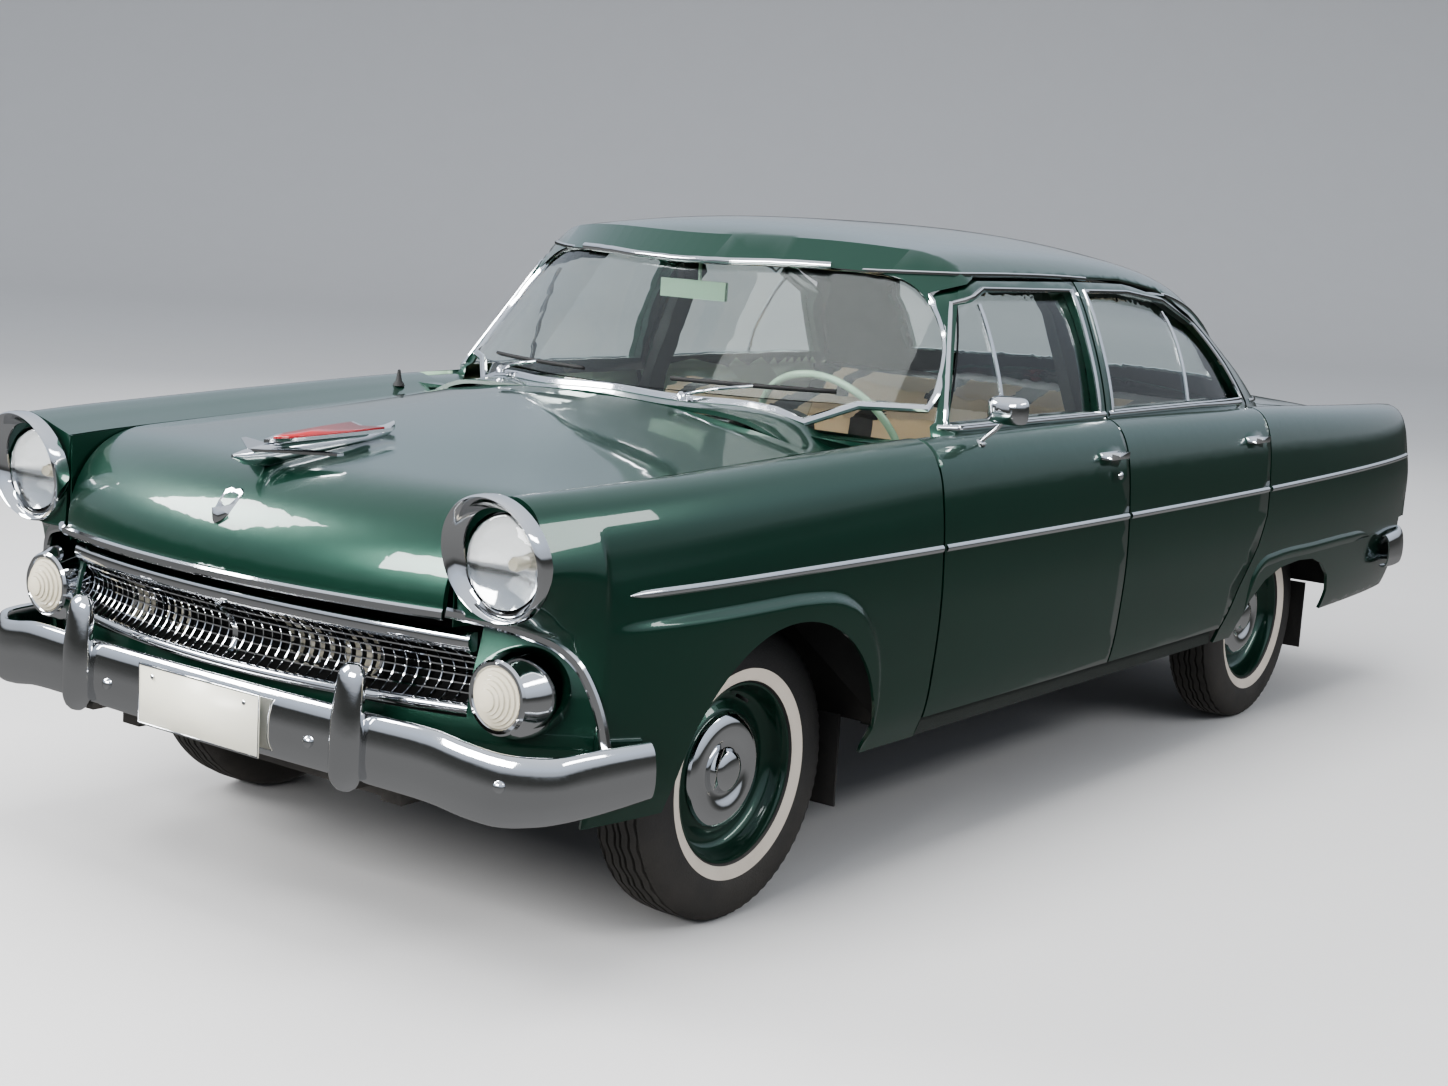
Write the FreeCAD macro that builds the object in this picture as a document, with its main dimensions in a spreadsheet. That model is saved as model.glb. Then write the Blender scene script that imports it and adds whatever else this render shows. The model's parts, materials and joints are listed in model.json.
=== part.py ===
# A mid-1950s four-door saloon car, in millimetres: front towards -Y, left side towards +X,
# origin on the ground under the middle of its overall length.
import FreeCAD, Part
import Sketcher
import math
import os

from FreeCAD import Vector

# Driving dimensions, in millimetres and degrees
SIZES = {
    "overallLength": 5042,
    "overallWidth": 1928,
    "roofHeight": 1584,
    "wheelbase": 2934,
    "frontOverhang": 880,
    "frontTrack": 1480,
    "rearTrack": 1450,
    "tyreRadius": 345,
    "tyreWidth": 172,
    "rimRadius": 207,
    "rimWidth": 138,
    "sillHeight": 345,
    "flankInset": 12,
    "beltHeight": 1080,
    "panelGap": 9,
    "sheetThickness": 10,
    "doorThickness": 84,
    "glassThickness": 6,
    "roofThickness": 34,
    "hoodLipHeight": 778,
    "frontDoorStart": 620,
    "pillarLine": 1620,
    "rearDoorEnd": 2600,
    "archRadius": 372,
    "lampSpacing": 1504,
    "lampHeight": 890,
    "lampRadius": 120,
    "lensRadius": 90,
    "parkSpacing": 1466,
    "parkHeight": 615,
    "parkRadius": 84,
    "tailLampRadius": 70,
    "tailLampHeight": 830,
    "steeringWheelRadius": 222,
    "bumperDepth": 14,
    "guardSpacing": 880,
}

doc = FreeCAD.newDocument("Saloon")
sheet = doc.addObject("Spreadsheet::Sheet", "dims")
for row, (alias, value) in enumerate(SIZES.items(), start=1):
    sheet.set(f"A{row}", alias)
    sheet.set(f"B{row}", str(value))
    sheet.setAlias(f"B{row}", alias)
doc.recompute()


class SheetReader:
    """Reads a driving dimension back from the sheet by its alias."""

    def __getattr__(self, name):
        return float(sheet.get(name))


size = SheetReader()
frontAxle = -size.overallLength / 2 + size.frontOverhang
rearAxle = frontAxle + size.wheelbase
axleHeight = size.tyreRadius
halfWidth = size.overallWidth / 2 - size.flankInset
nodes = {}


# Curves and solids

def smooth(*knots):
    """A smooth function of one value through (position, value) knots, straight beyond the ends."""
    xs = [k[0] for k in knots]
    ys = [k[1] for k in knots]
    slopes = []
    for i in range(len(knots)):
        low = max(i - 1, 0)
        high = min(i + 1, len(knots) - 1)
        slopes.append((ys[high] - ys[low]) / (xs[high] - xs[low]))

    def value(x):
        if x <= xs[0]:
            return ys[0] + slopes[0] * (x - xs[0])
        if x >= xs[-1]:
            return ys[-1] + slopes[-1] * (x - xs[-1])
        i = max(n for n in range(len(xs) - 1) if xs[n] <= x)
        step = xs[i + 1] - xs[i]
        u = (x - xs[i]) / step
        low = (2 * u ** 3 - 3 * u ** 2 + 1) * ys[i] + (u ** 3 - 2 * u ** 2 + u) * step * slopes[i]
        high = (3 * u ** 2 - 2 * u ** 3) * ys[i + 1] + (u ** 3 - u ** 2) * step * slopes[i + 1]
        return low + high

    return value


def spline(points):
    """One smooth edge through the points."""
    curve = Part.BSplineCurve()
    curve.interpolate([Vector(*p) for p in points])
    return curve.toShape()


def closed(edges):
    """A wire of the edges, with straight edges put in where two ends lie apart."""
    parts = []
    for i, edge in enumerate(edges):
        parts.append(edge)
        end = edge.lastVertex(True).Point if edge.Orientation != "Reversed" else edge.firstVertex().Point
        nextEdge = edges[(i + 1) % len(edges)]
        start = nextEdge.firstVertex(True).Point
        if end.distanceToPoint(start) > 0.01:
            parts.append(Part.makeLine(end, start))
    return Part.Wire(parts)


def inset(points, depth):
    """The points of an outline in its plane, moved to its right-hand side by a depth."""
    moved = []
    for i, (a, b) in enumerate(points):
        before = points[max(i - 1, 0)]
        after = points[min(i + 1, len(points) - 1)]
        da = after[0] - before[0]
        db = after[1] - before[1]
        length = math.hypot(da, db)
        moved.append((a - depth * db / length, b + depth * da / length))
    return moved


def skinAcross(stations, section, depth):
    """A sheet of one depth, lofted through XZ sections that lie along Y."""
    wires = []
    for y in stations:
        outer = section(y)
        inner = inset(outer, depth)
        outside = spline([(x, y, z) for x, z in outer])
        inside = spline([(x, y, z) for x, z in reversed(inner)])
        wires.append(closed([outside, inside]))
    return Part.makeLoft(wires, True, False)


def skinAlong(stations, profile, depth):
    """A sheet of one depth, lofted through YZ profiles that lie along X."""
    wires = []
    for x in stations:
        outer = profile(x)
        inner = inset(outer, depth)
        outside = spline([(x, y, z) for y, z in outer])
        inside = spline([(x, y, z) for y, z in reversed(inner)])
        wires.append(closed([outside, inside]))
    return Part.makeLoft(wires, True, False)


def prismAcross(outline, left, right):
    """A YZ polygon carried along X from the right limit to the left limit."""
    wire = Part.makePolygon([Vector(right, y, z) for y, z in outline + outline[:1]])
    return Part.Face(wire).extrude(Vector(left - right, 0, 0))


def prismDown(outline, low, high):
    """An XY polygon carried up from the low limit to the high limit."""
    wire = Part.makePolygon([Vector(x, y, low) for x, y in outline + outline[:1]])
    return Part.Face(wire).extrude(Vector(0, 0, high - low))


def prismAlong(outline, start, end):
    """An XZ polygon carried along Y."""
    wire = Part.makePolygon([Vector(x, start, z) for x, z in outline + outline[:1]])
    return Part.Face(wire).extrude(Vector(0, end - start, 0))


def block(low, high):
    """A box between two corners."""
    corner = Vector(*low)
    return Part.makeBox(high[0] - low[0], high[1] - low[1], high[2] - low[2], corner)


def mirrored(shape):
    """The same shape on the other side of the car."""
    return shape.mirror(Vector(0, 0, 0), Vector(1, 0, 0))


def bothSides(shape):
    return Part.makeCompound([shape, mirrored(shape)])


def largest(shape):
    """The biggest solid of a cut, which drops slivers."""
    return max(shape.Solids, key=lambda s: s.Volume)


def tube(points, radius):
    """A round bar along straight runs, with a ball at each bend."""
    pieces = []
    for a, b in zip(points, points[1:]):
        start = Vector(*a)
        run = Vector(*b) - start
        pieces.append(Part.makeCylinder(radius, run.Length, start, run))
    for p in points[1:-1]:
        pieces.append(Part.makeSphere(radius, Vector(*p)))
    return pieces[0].fuse(pieces[1:]).removeSplitter() if len(pieces) > 1 else pieces[0]


def feature(name, shape):
    """A document object whose shape is set by Part's functions."""
    item = doc.addObject("Part::Feature", name)
    item.Shape = shape
    item.Label = name
    nodes[name] = item
    return item


def originPlane(body, role):
    return next(f for f in body.Origin.OriginFeatures if f.Role == role)


def outlineSketch(body, name, plane, corners):
    """A closed polygon whose corner coordinates are expressions of the sheet."""
    sketch = body.newObject("Sketcher::SketchObject", name)
    sketch.AttachmentSupport = [(originPlane(body, plane), "")]
    sketch.MapMode = "FlatFace"
    count = len(corners)
    start = [Vector(10 * math.cos(2 * math.pi * i / count), 10 * math.sin(2 * math.pi * i / count), 0)
             for i in range(count)]
    for i in range(count):
        sketch.addGeometry(Part.LineSegment(start[i], start[(i + 1) % count]), False)
    for i in range(count):
        sketch.addConstraint(Sketcher.Constraint("Coincident", i, 2, (i + 1) % count, 1))
    for i, (across, up) in enumerate(corners):
        for kind, formula in (("DistanceX", across), ("DistanceY", up)):
            now = start[i].x if kind == "DistanceX" else start[i].y
            index = sketch.addConstraint(Sketcher.Constraint(kind, -1, 1, i, 1, now))
            sketch.setExpression(f"Constraints[{index}]", formula)
    return sketch


def turned(name, corners, plane="XY_Plane", axis="H_Axis", place=None):
    """A body made by turning an outline about one of its sketch axes."""
    body = doc.addObject("PartDesign::Body", name)
    body.Label = name
    sketch = outlineSketch(body, name + "_outline", plane, corners)
    turn = body.newObject("PartDesign::Revolution", name + "_turn")
    turn.Profile = sketch
    turn.ReferenceAxis = (sketch, [axis])
    turn.Angle = 360
    body.Tip = turn
    for coordinate, formula in (place or {}).items():
        body.setExpression(f"Placement.Base.{coordinate}", formula)
    return body


def pairNode(name, left):
    """One node of a left piece and its mirror image."""
    right = doc.addObject("Part::Mirroring", name + "_mirror")
    right.Source = left
    right.Normal = Vector(1, 0, 0)
    pair = doc.addObject("Part::Compound", name)
    pair.Links = [left, right]
    pair.Label = name
    nodes[name] = pair


# Body surfaces

widest = smooth((-2400, halfWidth - 74), (-2250, halfWidth - 47), (-1950, halfWidth - 20), (-1641, halfWidth - 11),
                (-1021, halfWidth - 2), (0, halfWidth), (950, halfWidth - 1), (1293, halfWidth - 4),
                (1800, halfWidth - 14), (2200, halfWidth - 37), (2440, halfWidth - 67))
crest = smooth((-2400, 1000), (-2250, 1022), (-1950, 1042), (-1641, 1056), (-1021, size.beltHeight - 2),
               (0, size.beltHeight + 2), (950, size.beltHeight - 10), (1293, 1060), (1800, 1040),
               (2200, 1025), (2440, 1012))
fenderReach = 262


def flankSection(y):
    """The side of the body from the sill up over the crest, on the left."""
    w = widest(y)
    c = crest(y)
    s = size.sillHeight
    return [(w - 50, s), (w - 28, s + 60), (w - 9, s + 190), (w, 680), (w - 2, 790), (w - 12, c - 160),
            (w - 32, c - 66), (w - 60, c - 20), (w - 102, c), (w - 155, c - 8), (w - 212, c - 24),
            (w - fenderReach, c - 38)]


def beltSection(y):
    """The same side, ending at the foot of the side windows."""
    return flankSection(y)[:9]


hoodCentre = smooth((-2493, 984), (-2233, 1012), (-1950, 1046), (-1641, 1078), (-1290, 1114), (-1200, 1122))
lipSweep = 93


def hoodHeight(x, y):
    edge = widest(y) - fenderReach
    drop = hoodCentre(y) - (crest(y) - 38)
    return hoodCentre(y) - drop * abs(x / edge) ** 2.2


def hoodProfile(x):
    """The hood from its lip over the nose and back to the cowl."""
    lip = -2493 + lipSweep * (x / 610) ** 2
    low = size.hoodLipHeight - 6 * (x / 610) ** 2
    points = []
    for back in (0, 7, 22, 52, 100, 170, 260):
        y = lip + back
        fullness = (1 - (1 - back / 260) ** 2.6) ** (1 / 2.2)
        points.append((y, low + (hoodHeight(x, y) - low) * fullness))
    for y in (-2080, -1900, -1700, -1500, -1330, -1200):
        points.append((y, hoodHeight(x, y)))
    return points


deckCentre = smooth((1300, 1082), (1450, 1080), (1700, 1066), (2000, 1042), (2250, 1006), (2400, 960))


def deckHeight(x, y):
    edge = widest(y) - fenderReach
    drop = deckCentre(y) - (crest(y) - 38)
    return deckCentre(y) - drop * abs(x / edge) ** 2.2


def deckProfile(x):
    """The rear deck and the trunk lid down to the tail panel."""
    points = [(y, deckHeight(x, y)) for y in (1300, 1450, 1650, 1850, 2050, 2200)]
    top = deckHeight(x, 2200)
    low = 600
    for back, share in ((2300, 0.955), (2365, 0.86), (2400, 0.72), (2415, 0.5), (2418, 0.25), (2416, 0)):
        points.append((back - 20 * (x / 600) ** 2, low + (top - low) * share))
    return points


roofCentre = smooth((-1300, 1455), (-900, 1512), (-580, 1576), (-200, size.roofHeight), (200, 1578),
                    (600, 1548), (900, 1484), (1150, 1362), (1430, 1088), (1500, 1010))
roofEdge = smooth((-1300, 1430), (-900, 1456), (-580, 1465), (0, 1458), (400, 1432), (800, 1372),
                  (1050, 1270), (1300, 1110), (1500, 960))
roofHalf = smooth((-1300, 690), (-580, 700), (0, 704), (600, 696), (900, 672), (1150, 640), (1430, 600), (1500, 590))
beltHalf = smooth((-1300, 850), (-900, 852), (0, 854), (900, 850), (1150, 800), (1430, 700), (1500, 670))


def houseSection(y, depth):
    """The left half of the cabin above the belt: tumblehome, drip edge and roof crown."""
    edge = roofEdge(y)
    base = min(size.beltHeight - 30, edge - 90) - depth / 2
    half = roofHalf(y)
    belt = beltHalf(y)
    top = roofCentre(y)
    rise = edge - base
    side = [(belt + 2, base), (belt - (belt - half) * 0.18, base + rise * 0.33),
            (belt - (belt - half) * 0.52, base + rise * 0.68), (half, edge)]
    crown = [(half * 0.93, edge + (top - edge) * 0.33), (half * 0.76, edge + (top - edge) * 0.62),
             (half * 0.4, edge + (top - edge) * 0.9), (0, top)]
    points = side + crown
    return [(max(x - depth, 0), z - depth if n > 2 else z) for n, (x, z) in enumerate(points)]


def houseSolid(depth):
    """The cabin above the belt as one solid, smaller all round by a depth."""
    wires = []
    for y in (-1300, -900, -580, -200, 200, 600, 900, 1150, 1300, 1430, 1500):
        left = houseSection(y, depth)
        full = left + [(-x, z) for x, z in reversed(left[:-1])]
        arch = spline([(x, y, z) for x, z in full])
        wires.append(closed([arch]))
    return Part.makeLoft(wires, True, False)


def screenSolid(depth):
    """What lies behind the wrapped windshield surface, moved back by a depth."""
    wires = []
    for z in (1000, 1620):
        rise = (z - 1110) / 370.0
        middle = -1222 + 330 * rise + depth
        corner = -824 + 200 * rise + depth
        half = 846 - 150 * rise
        bend = Part.Arc(Vector(-half - 60, corner + 78, z), Vector(0, middle, z), Vector(half + 60, corner + 78, z))
        back = [Vector(half + 60, 1700, z), Vector(-half - 60, 1700, z)]
        wires.append(Part.Wire([bend.toShape(), Part.makeLine(Vector(half + 60, corner + 78, z), back[0]),
                                Part.makeLine(back[0], back[1]),
                                Part.makeLine(back[1], Vector(-half - 60, corner + 78, z))]))
    return Part.makeLoft(wires, True, True)


# Door outlines seen from the side, in Y and Z

doorFront = frontAxle + size.frontDoorStart
doorMiddle = frontAxle + size.pillarLine
doorBack = frontAxle + size.rearDoorEnd
gap = size.panelGap
sillTop = size.sillHeight + 50


def frontDoorOutline(margin):
    return [(doorFront - margin, sillTop - margin), (doorMiddle - gap + margin, sillTop - margin),
            (doorMiddle - gap + margin, 1452 + margin), (-560 - margin, 1452 + margin),
            (-700 - margin, 1408 + margin), (-858 - margin, 1105), (-905 - margin, size.beltHeight + 6),
            (doorFront - margin, size.beltHeight + 6)]


def rearDoorOutline(margin):
    return [(doorMiddle - margin, sillTop - margin), (doorBack - 225 + margin, sillTop - margin),
            (doorBack - 150 + margin, 520), (doorBack - 50 + margin, 640), (doorBack + margin, 740),
            (doorBack + 30 + margin, size.beltHeight + margin), (900 + margin, 1200 + margin),
            (760 + margin, 1345 + margin), (560 + margin, 1418 + margin), (300, 1446 + margin),
            (doorMiddle - margin, 1452 + margin)]


def frontWindowOutline():
    return [(-852, size.beltHeight + 22), (doorMiddle - gap - 44, size.beltHeight + 22),
            (doorMiddle - gap - 44, 1424), (-552, 1424), (-672, 1390)]


def rearWindowOutline():
    return [(doorMiddle + 44, size.beltHeight + 22), (930, size.beltHeight + 22), (850, 1205), (730, 1322),
            (545, 1390), (300, 1418), (doorMiddle + 44, 1424)]


leftSide = (1100, 420)


def sideCut(outline):
    return prismAcross(outline, leftSide[0], leftSide[1])


stationsAll = (-2385, -2250, -2100, -1900, -1641, -1350, -1021, -600, -21, 500, 950, 1293, 1600, 1900, 2200, 2440)
flank = skinAcross(stationsAll, flankSection, size.sheetThickness)
doorSlab = skinAcross((-1100, -600, -21, 500, 1100), beltSection, size.doorThickness)
houseOuter = houseSolid(0).common(screenSolid(0))
houseInner = houseSolid(size.roofThickness).common(screenSolid(size.roofThickness))
houseShell = houseOuter.cut(houseInner)
aboveBelt = block((-1000, -1400, 1030), (1000, 1600, 1700))

archFront = Part.makeCylinder(size.archRadius, 700, Vector(400, frontAxle, axleHeight), Vector(1, 0, 0))
rearArchLine = [(-430, 300), (-415, 390), (-360, 465), (-270, 520), (-150, 550), (0, 558), (130, 550), (230, 522),
                (305, 475), (345, 415), (356, 350), (358, 300)]
archRear = prismAcross([(rearAxle + y, z) for y, z in rearArchLine], 1100, 400)

# Front fender

fender = flank.common(block((400, -2600, 300), (1100, doorFront - gap, 1200)))
fender = fender.cut(archFront)
capOutline = [(x, z) for x, z in flankSection(-2385) if z > 640]
capOutline = capOutline + [(capOutline[-1][0], 690), (800, 690), (820, 640)]
cap = prismAlong(capOutline, -2385, -2373)
lampHole = Part.makeCylinder(size.lampRadius - 14, 80, Vector(size.lampSpacing / 2, -2420, size.lampHeight),
                             Vector(0, 1, 0))
podHole = Part.makeCylinder(size.parkRadius + 6.3, 120, Vector(size.parkSpacing / 2, -2420, size.parkHeight),
                            Vector(0, 1, 0))
fenderLeft = largest(fender.fuse(cap).cut([lampHole, podHole]))
feature("front_fender_l", fenderLeft)
feature("front_fender_r", mirrored(fenderLeft))

# Rear quarter panel

quarter = flank.common(block((400, doorBack - 400, 300), (1100, 2600, 1200)))
quarter = quarter.cut(sideCut(rearDoorOutline(gap))).cut(archRear)
quarter = quarter.cut(block((400, doorBack - 500, 300), (1100, doorBack - 215, 1200)))
endOutline = [(x, z) for x, z in flankSection(2440)]
endOutline = [(endOutline[3][0] - 1, 605)] + [(x, z) for x, z in endOutline if z > 620] + [(endOutline[-1][0], 605)]
tailHole = Part.makeCylinder(size.tailLampRadius - 8, 80, Vector(745, 2400, size.tailLampHeight), Vector(0, 1, 0))
quarter = quarter.cut(block((400, 2372, 300), (1100, 2600, 605)))
quarterLeft = largest(quarter.fuse(prismAlong(endOutline, 2428, 2440)).cut(tailHole))
feature("rear_quarter_l", quarterLeft)
feature("rear_quarter_r", mirrored(quarterLeft))

# Doors

doorBody = doorSlab.cut(block((400, -2000, 300), (1100, 2000, sillTop)))
houseFlank = houseOuter.cut(houseSolid(46)).common(block((655, -1300, size.beltHeight - 20), (1000, 1300, 1600)))
cornerNotch = block((400, -1100, 1035), (848, -884, 1200))


def outerAt(y, z):
    """Half the width of the body or of the cabin's side at a height, read from its section."""
    points = beltSection(y) if z < size.beltHeight - 25 else houseSection(y, 0)
    for (xa, za), (xb, zb) in zip(points, points[1:]):
        if za <= z <= zb:
            return xa + (xb - xa) * (z - za) / (zb - za)
    return points[-1][0]


def rearEdgeTool(edgeAt, hinge):
    """What lies behind a door's slanted rear edge, whose inner side swings back as the door opens."""
    wires = []
    for z in (380, 500, 640, 740, 900, 1040, 1070, 1140, 1200, 1300, 1400, 1470):
        edge = edgeAt(z)
        outer = outerAt(edge, z)
        depth = size.doorThickness + 40 if z < size.beltHeight + 20 else 50
        slope = (hinge[0] - outer + depth) / (edge - hinge[1]) + 0.03
        corners = [(outer + 60, edge), (outer, edge), (outer - 150, edge - 150 * slope), (outer - 150, edge + 300),
                   (outer + 60, edge + 300)]
        wires.append(Part.makePolygon([Vector(x, y, z) for x, y in corners + corners[:1]]))
    return Part.makeLoft(wires, True, True)


def rearDoorEdge(z):
    """Where the rear door ends at a height, from its outline."""
    border = [(380, doorBack - 225), (sillTop, doorBack - 225), (520, doorBack - 150), (640, doorBack - 50),
              (740, doorBack), (size.beltHeight, doorBack + 30), (1200, 900), (1345, 760), (1418, 560),
              (1446, 300), (1500, 0)]
    for (za, ya), (zb, yb) in zip(border, border[1:]):
        if za <= z <= zb:
            return ya + (yb - ya) * (z - za) / (zb - za)


def doorShape(outline, windowOutline, handle):
    """A door as thick as the real one, with its window frame."""
    whole = doorBody.fuse(houseFlank).common(sideCut(outline(0)))
    whole = whole.cut(sideCut(windowOutline))
    return largest(whole.fuse(handle))


frontHandle = block((halfWidth - 60, doorMiddle - 170, 985), (halfWidth + 8, doorMiddle - 60, 1003))
rearHandle = block((halfWidth - 60, doorBack - 160, 975), (halfWidth + 6, doorBack - 50, 993))
frontHinge = (halfWidth - 14, doorFront + 25)
rearHinge = (halfWidth - 12, doorMiddle + 25)
frontEdgeTool = rearEdgeTool(lambda z: doorMiddle - gap, frontHinge)
backEdgeTool = rearEdgeTool(rearDoorEdge, rearHinge)
frontDoor = largest(doorShape(frontDoorOutline, frontWindowOutline(), frontHandle).cut([cornerNotch, frontEdgeTool]))
rearDoor = largest(doorShape(rearDoorOutline, rearWindowOutline(), rearHandle).cut(backEdgeTool))
feature("front_door_l", frontDoor)
feature("front_door_r", mirrored(frontDoor))
feature("rear_door_l", rearDoor)
feature("rear_door_r", mirrored(rearDoor))

# Door glass

glassOuter = houseSolid(18)
glassInner = houseSolid(18 + size.glassThickness)
glassShell = glassOuter.cut(glassInner)
for label, outline in (("front_door_glass", frontWindowOutline()), ("rear_door_glass", rearWindowOutline())):
    pane = largest(glassShell.common(sideCut(outline)))
    feature(label + "_l", pane)
    feature(label + "_r", mirrored(pane))

# Cowl

def cowlSection(y):
    """Half of the cowl top, from the middle out to the door."""
    middle = 1118 + (y + 1290) * 0.04
    top = crest(y)
    return [(0, middle), (260, middle - 10), (520, middle - 34), (widest(y) - fenderReach, top - 38),
            (widest(y) - 190, top - 18), (840, top - 8)]


def cowlLoft(depth):
    """The cowl top across the car, with a flat-bottomed depth below it."""
    wires = []
    for y in (-1300, -1200, -1100, -1000, -900, -800):
        left = cowlSection(y)
        top = [(-x, z) for x, z in reversed(left[1:])] + left
        under = [(x, z - depth) for x, z in reversed(top)]
        wires.append(closed([spline([(x, y, z) for x, z in top]), spline([(x, y, z) for x, z in under])]))
    return Part.makeLoft(wires, True, False)


cowlSkin = cowlLoft(12)
cowlMass = cowlLoft(160)
fenderInner = [(widest(y) - fenderReach, y) for y in (-1232 + gap, -1130, doorFront - gap + 0.3)]
cowlPlan = [(400, -1262 + gap), (fenderInner[0][0], -1232 + gap)] + fenderInner[1:] + [
    (838, doorFront - gap + 0.3), (838, -915), (796, -895), (788, -780)]
cowlPlan = [(0, -1284 + gap)] + cowlPlan + [(-x, y) for x, y in reversed(cowlPlan)]
cowl = largest(cowlSkin.common(prismDown(cowlPlan, 900, 1300)).cut(screenSolid(size.roofThickness)))
shelfMass = skinAcross((850, 950, 1293, 1500), flankSection, 120)
deckMass = skinAlong((-740, -600, -400, -200, 0, 200, 400, 600, 740), deckProfile, -150)

# Roof with its pillars

screenOpening = houseSolid(52).cut(screenSolid(size.roofThickness + 30)).cut(
    block((-1000, -1400, 900), (1000, 1600, 1136)))
rearOpening = prismAlong([(600, 1118), (560, 1320), (500, 1400), (-500, 1400), (-560, 1320), (-600, 1118)], 950, 1600)
roof = houseShell.common(aboveBelt).cut([cowlMass, deckMass] + [shelfMass, mirrored(shelfMass)])
for outline in (frontDoorOutline(gap), rearDoorOutline(gap)):
    cutter = prismAcross(outline, 1100, 640)
    roof = roof.cut([cutter, mirrored(cutter)])
roof = largest(roof.cut(screenOpening).cut(rearOpening))
feature("roof", roof)

# Windshield and rear window

screenSheet = screenSolid(14).cut(screenSolid(14 + size.glassThickness))
windshield = largest(screenSheet.common(screenOpening.common(houseSolid(52))))
feature("windshield", windshield)
rearSheet = glassOuter.cut(glassInner)
feature("rear_window", largest(rearSheet.common(rearOpening)))

# Hood

hoodStations = [-740, -600, -400, -200, 0, 200, 400, 600, 740]
hoodSkin = skinAlong(hoodStations, hoodProfile, -size.sheetThickness)
leftEdge = [(widest(y) - fenderReach - gap, y) for y in (-2640, -2250, -1900, -1641, -1400, -1232)]
hoodOutline = leftEdge + [(400, -1262), (0, -1284), (-400, -1262)] + [(-x, y) for x, y in reversed(leftEdge)]
hood = largest(hoodSkin.common(prismDown(hoodOutline, 700, 1300)))
feature("hood", hood)

# Trunk lid, rear deck and tail panel

deckStations = [-740, -600, -400, -200, 0, 200, 400, 600, 740]
deckSkin = skinAlong(deckStations, deckProfile, -size.sheetThickness)
lidOutline = [(560, 1640), (590, 1700), (600, 2100), (585, 2600)]
lidOutline = lidOutline + [(-x, y) for x, y in reversed(lidOutline)]
lidZone = prismDown(lidOutline, 640, 1300)
feature("trunk_lid", largest(deckSkin.common(lidZone)))
wideOutline = [(560 + gap, 1640 - gap), (590 + gap, 1700), (600 + gap, 2100), (585 + gap, 2600)]
wideOutline = wideOutline + [(-x, y) for x, y in reversed(wideOutline)]
deckEdge = [(widest(y) - fenderReach - 1.5, y) for y in (1440, 1540, 1640, 1740, 1840, 1940, 2040, 2140, 2240, 2340, 2428)]
deckZone = prismDown([(0, 1440)] + [(deckEdge[0][0], 1440)] + deckEdge[1:] + [(-x, y) for x, y in reversed(deckEdge[1:])]
                     + [(-deckEdge[0][0], 1440)], 560, 1300)
deck = deckSkin.common(deckZone).cut(prismDown(wideOutline, 640 - gap, 1300))
feature("rear_deck", largest(deck))

# Floor, firewall, cowl and wheel houses

tunnel = block((-60, -1180, 412), (60, 300, 470))
floorPieces = [block((-800, -1180, 400), (800, 912, 412)), block((-560, 912, 560), (560, 2390, 572)),
               block((-800, 900, 412), (800, 912, 560)), block((-640, 900, 560), (640, 912, 1040)),
               block((-640, 900, 1030), (640, 1290, 1040)), tunnel]
wheelHouse = block((560, 912, 560), (572, 1740, 770)).fuse([
    block((560, 1000, 770), (1000, 1740, 780)), block((560, 1730, 420), (1000, 1740, 770)),
    block((560, 1000, 440), (572, 1740, 560))])
wheelHouse = largest(wheelHouse.cut(flank))
floorPan = floorPieces[0].fuse(floorPieces[1:] + [wheelHouse, mirrored(wheelHouse)]).removeSplitter()
bay = [(x, z) for x, z in inset(flankSection(-1186), size.sheetThickness + 0.4) if z > 400]
bay = [(bay[0][0], 400)] + bay + [(0, bay[-1][1] + 40)]
bay = bay + [(-x, z) for x, z in reversed(bay[:-1])]
firewall = largest(prismAlong(bay, -1192, -1180).cut([flank, mirrored(flank), cowl]))
feature("cowl", cowl)
feature("firewall", firewall)
dash = prismAcross([(-1110, 1060), (-890, 1050), (-870, 900), (-950, 860), (-1110, 900)], 780, -780)
feature("instrument_panel", largest(dash.cut([cowl, fenderLeft, mirrored(fenderLeft), firewall])))

sill = block((760, doorFront, 345), (895, doorBack - 230, sillTop - gap))
floorRail = block((740, doorFront, 345), (760, doorBack - 230, 400))
pillarOutline = [(770, 380), (808, 380), (808, 960), (790, 1050), (672, 1360), (640, 1400), (600, 1520), (570, 1520),
                 (610, 1400), (640, 1360), (752, 1050), (770, 960)]
pillar = largest(prismAlong(pillarOutline, doorMiddle - 45, doorMiddle + 36).cut(roof))
feature("floor_pan", floorPan.cut([pillar, mirrored(pillar)]))
feature("sills_and_pillars", bothSides(sill.fuse([pillar, floorRail]).removeSplitter()))
apron = block((470, -2050, 520), (480, -1192, 762)).fuse([
    block((470, -2050, 752), (1000, -1192, 762)), block((470, -2050, 400), (1000, -2040, 762))])
apron = largest(apron.cut([flank, prismAlong([(0, 0), (0, 520.3), (481, 520.3), (481, 0)], -2100, -1100)]))
feature("inner_fender_l", apron)
feature("inner_fender_r", mirrored(apron))

# Front end: grille surround, grille, lamps and bumper

surround = prismAlong([(700, 770), (700, 722), (600, 700), (625, 560), (560, 520), (-560, 520), (-625, 560),
                       (-600, 700), (-700, 722), (-700, 770)], -2373, -2361)
mouth = prismAlong([(560, 740), (600, 570), (-600, 570), (-560, 740)], -2400, -2300)
feature("grille_surround", surround.cut(mouth))
bars = [block((-560, -2385, 552), (560, -2373, 570)), block((-560, -2385, 740), (560, -2373, 760))]
for i in range(-9, 10):
    bars.append(block((i * 58 - 3, -2385, 565), (i * 58 + 3, -2373, 745)))
for i in range(5):
    bars.append(block((-560, -2385, 590 + i * 30), (560, -2373, 596 + i * 30)))
feature("grille", bars[0].fuse(bars[1:]).removeSplitter())

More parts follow.
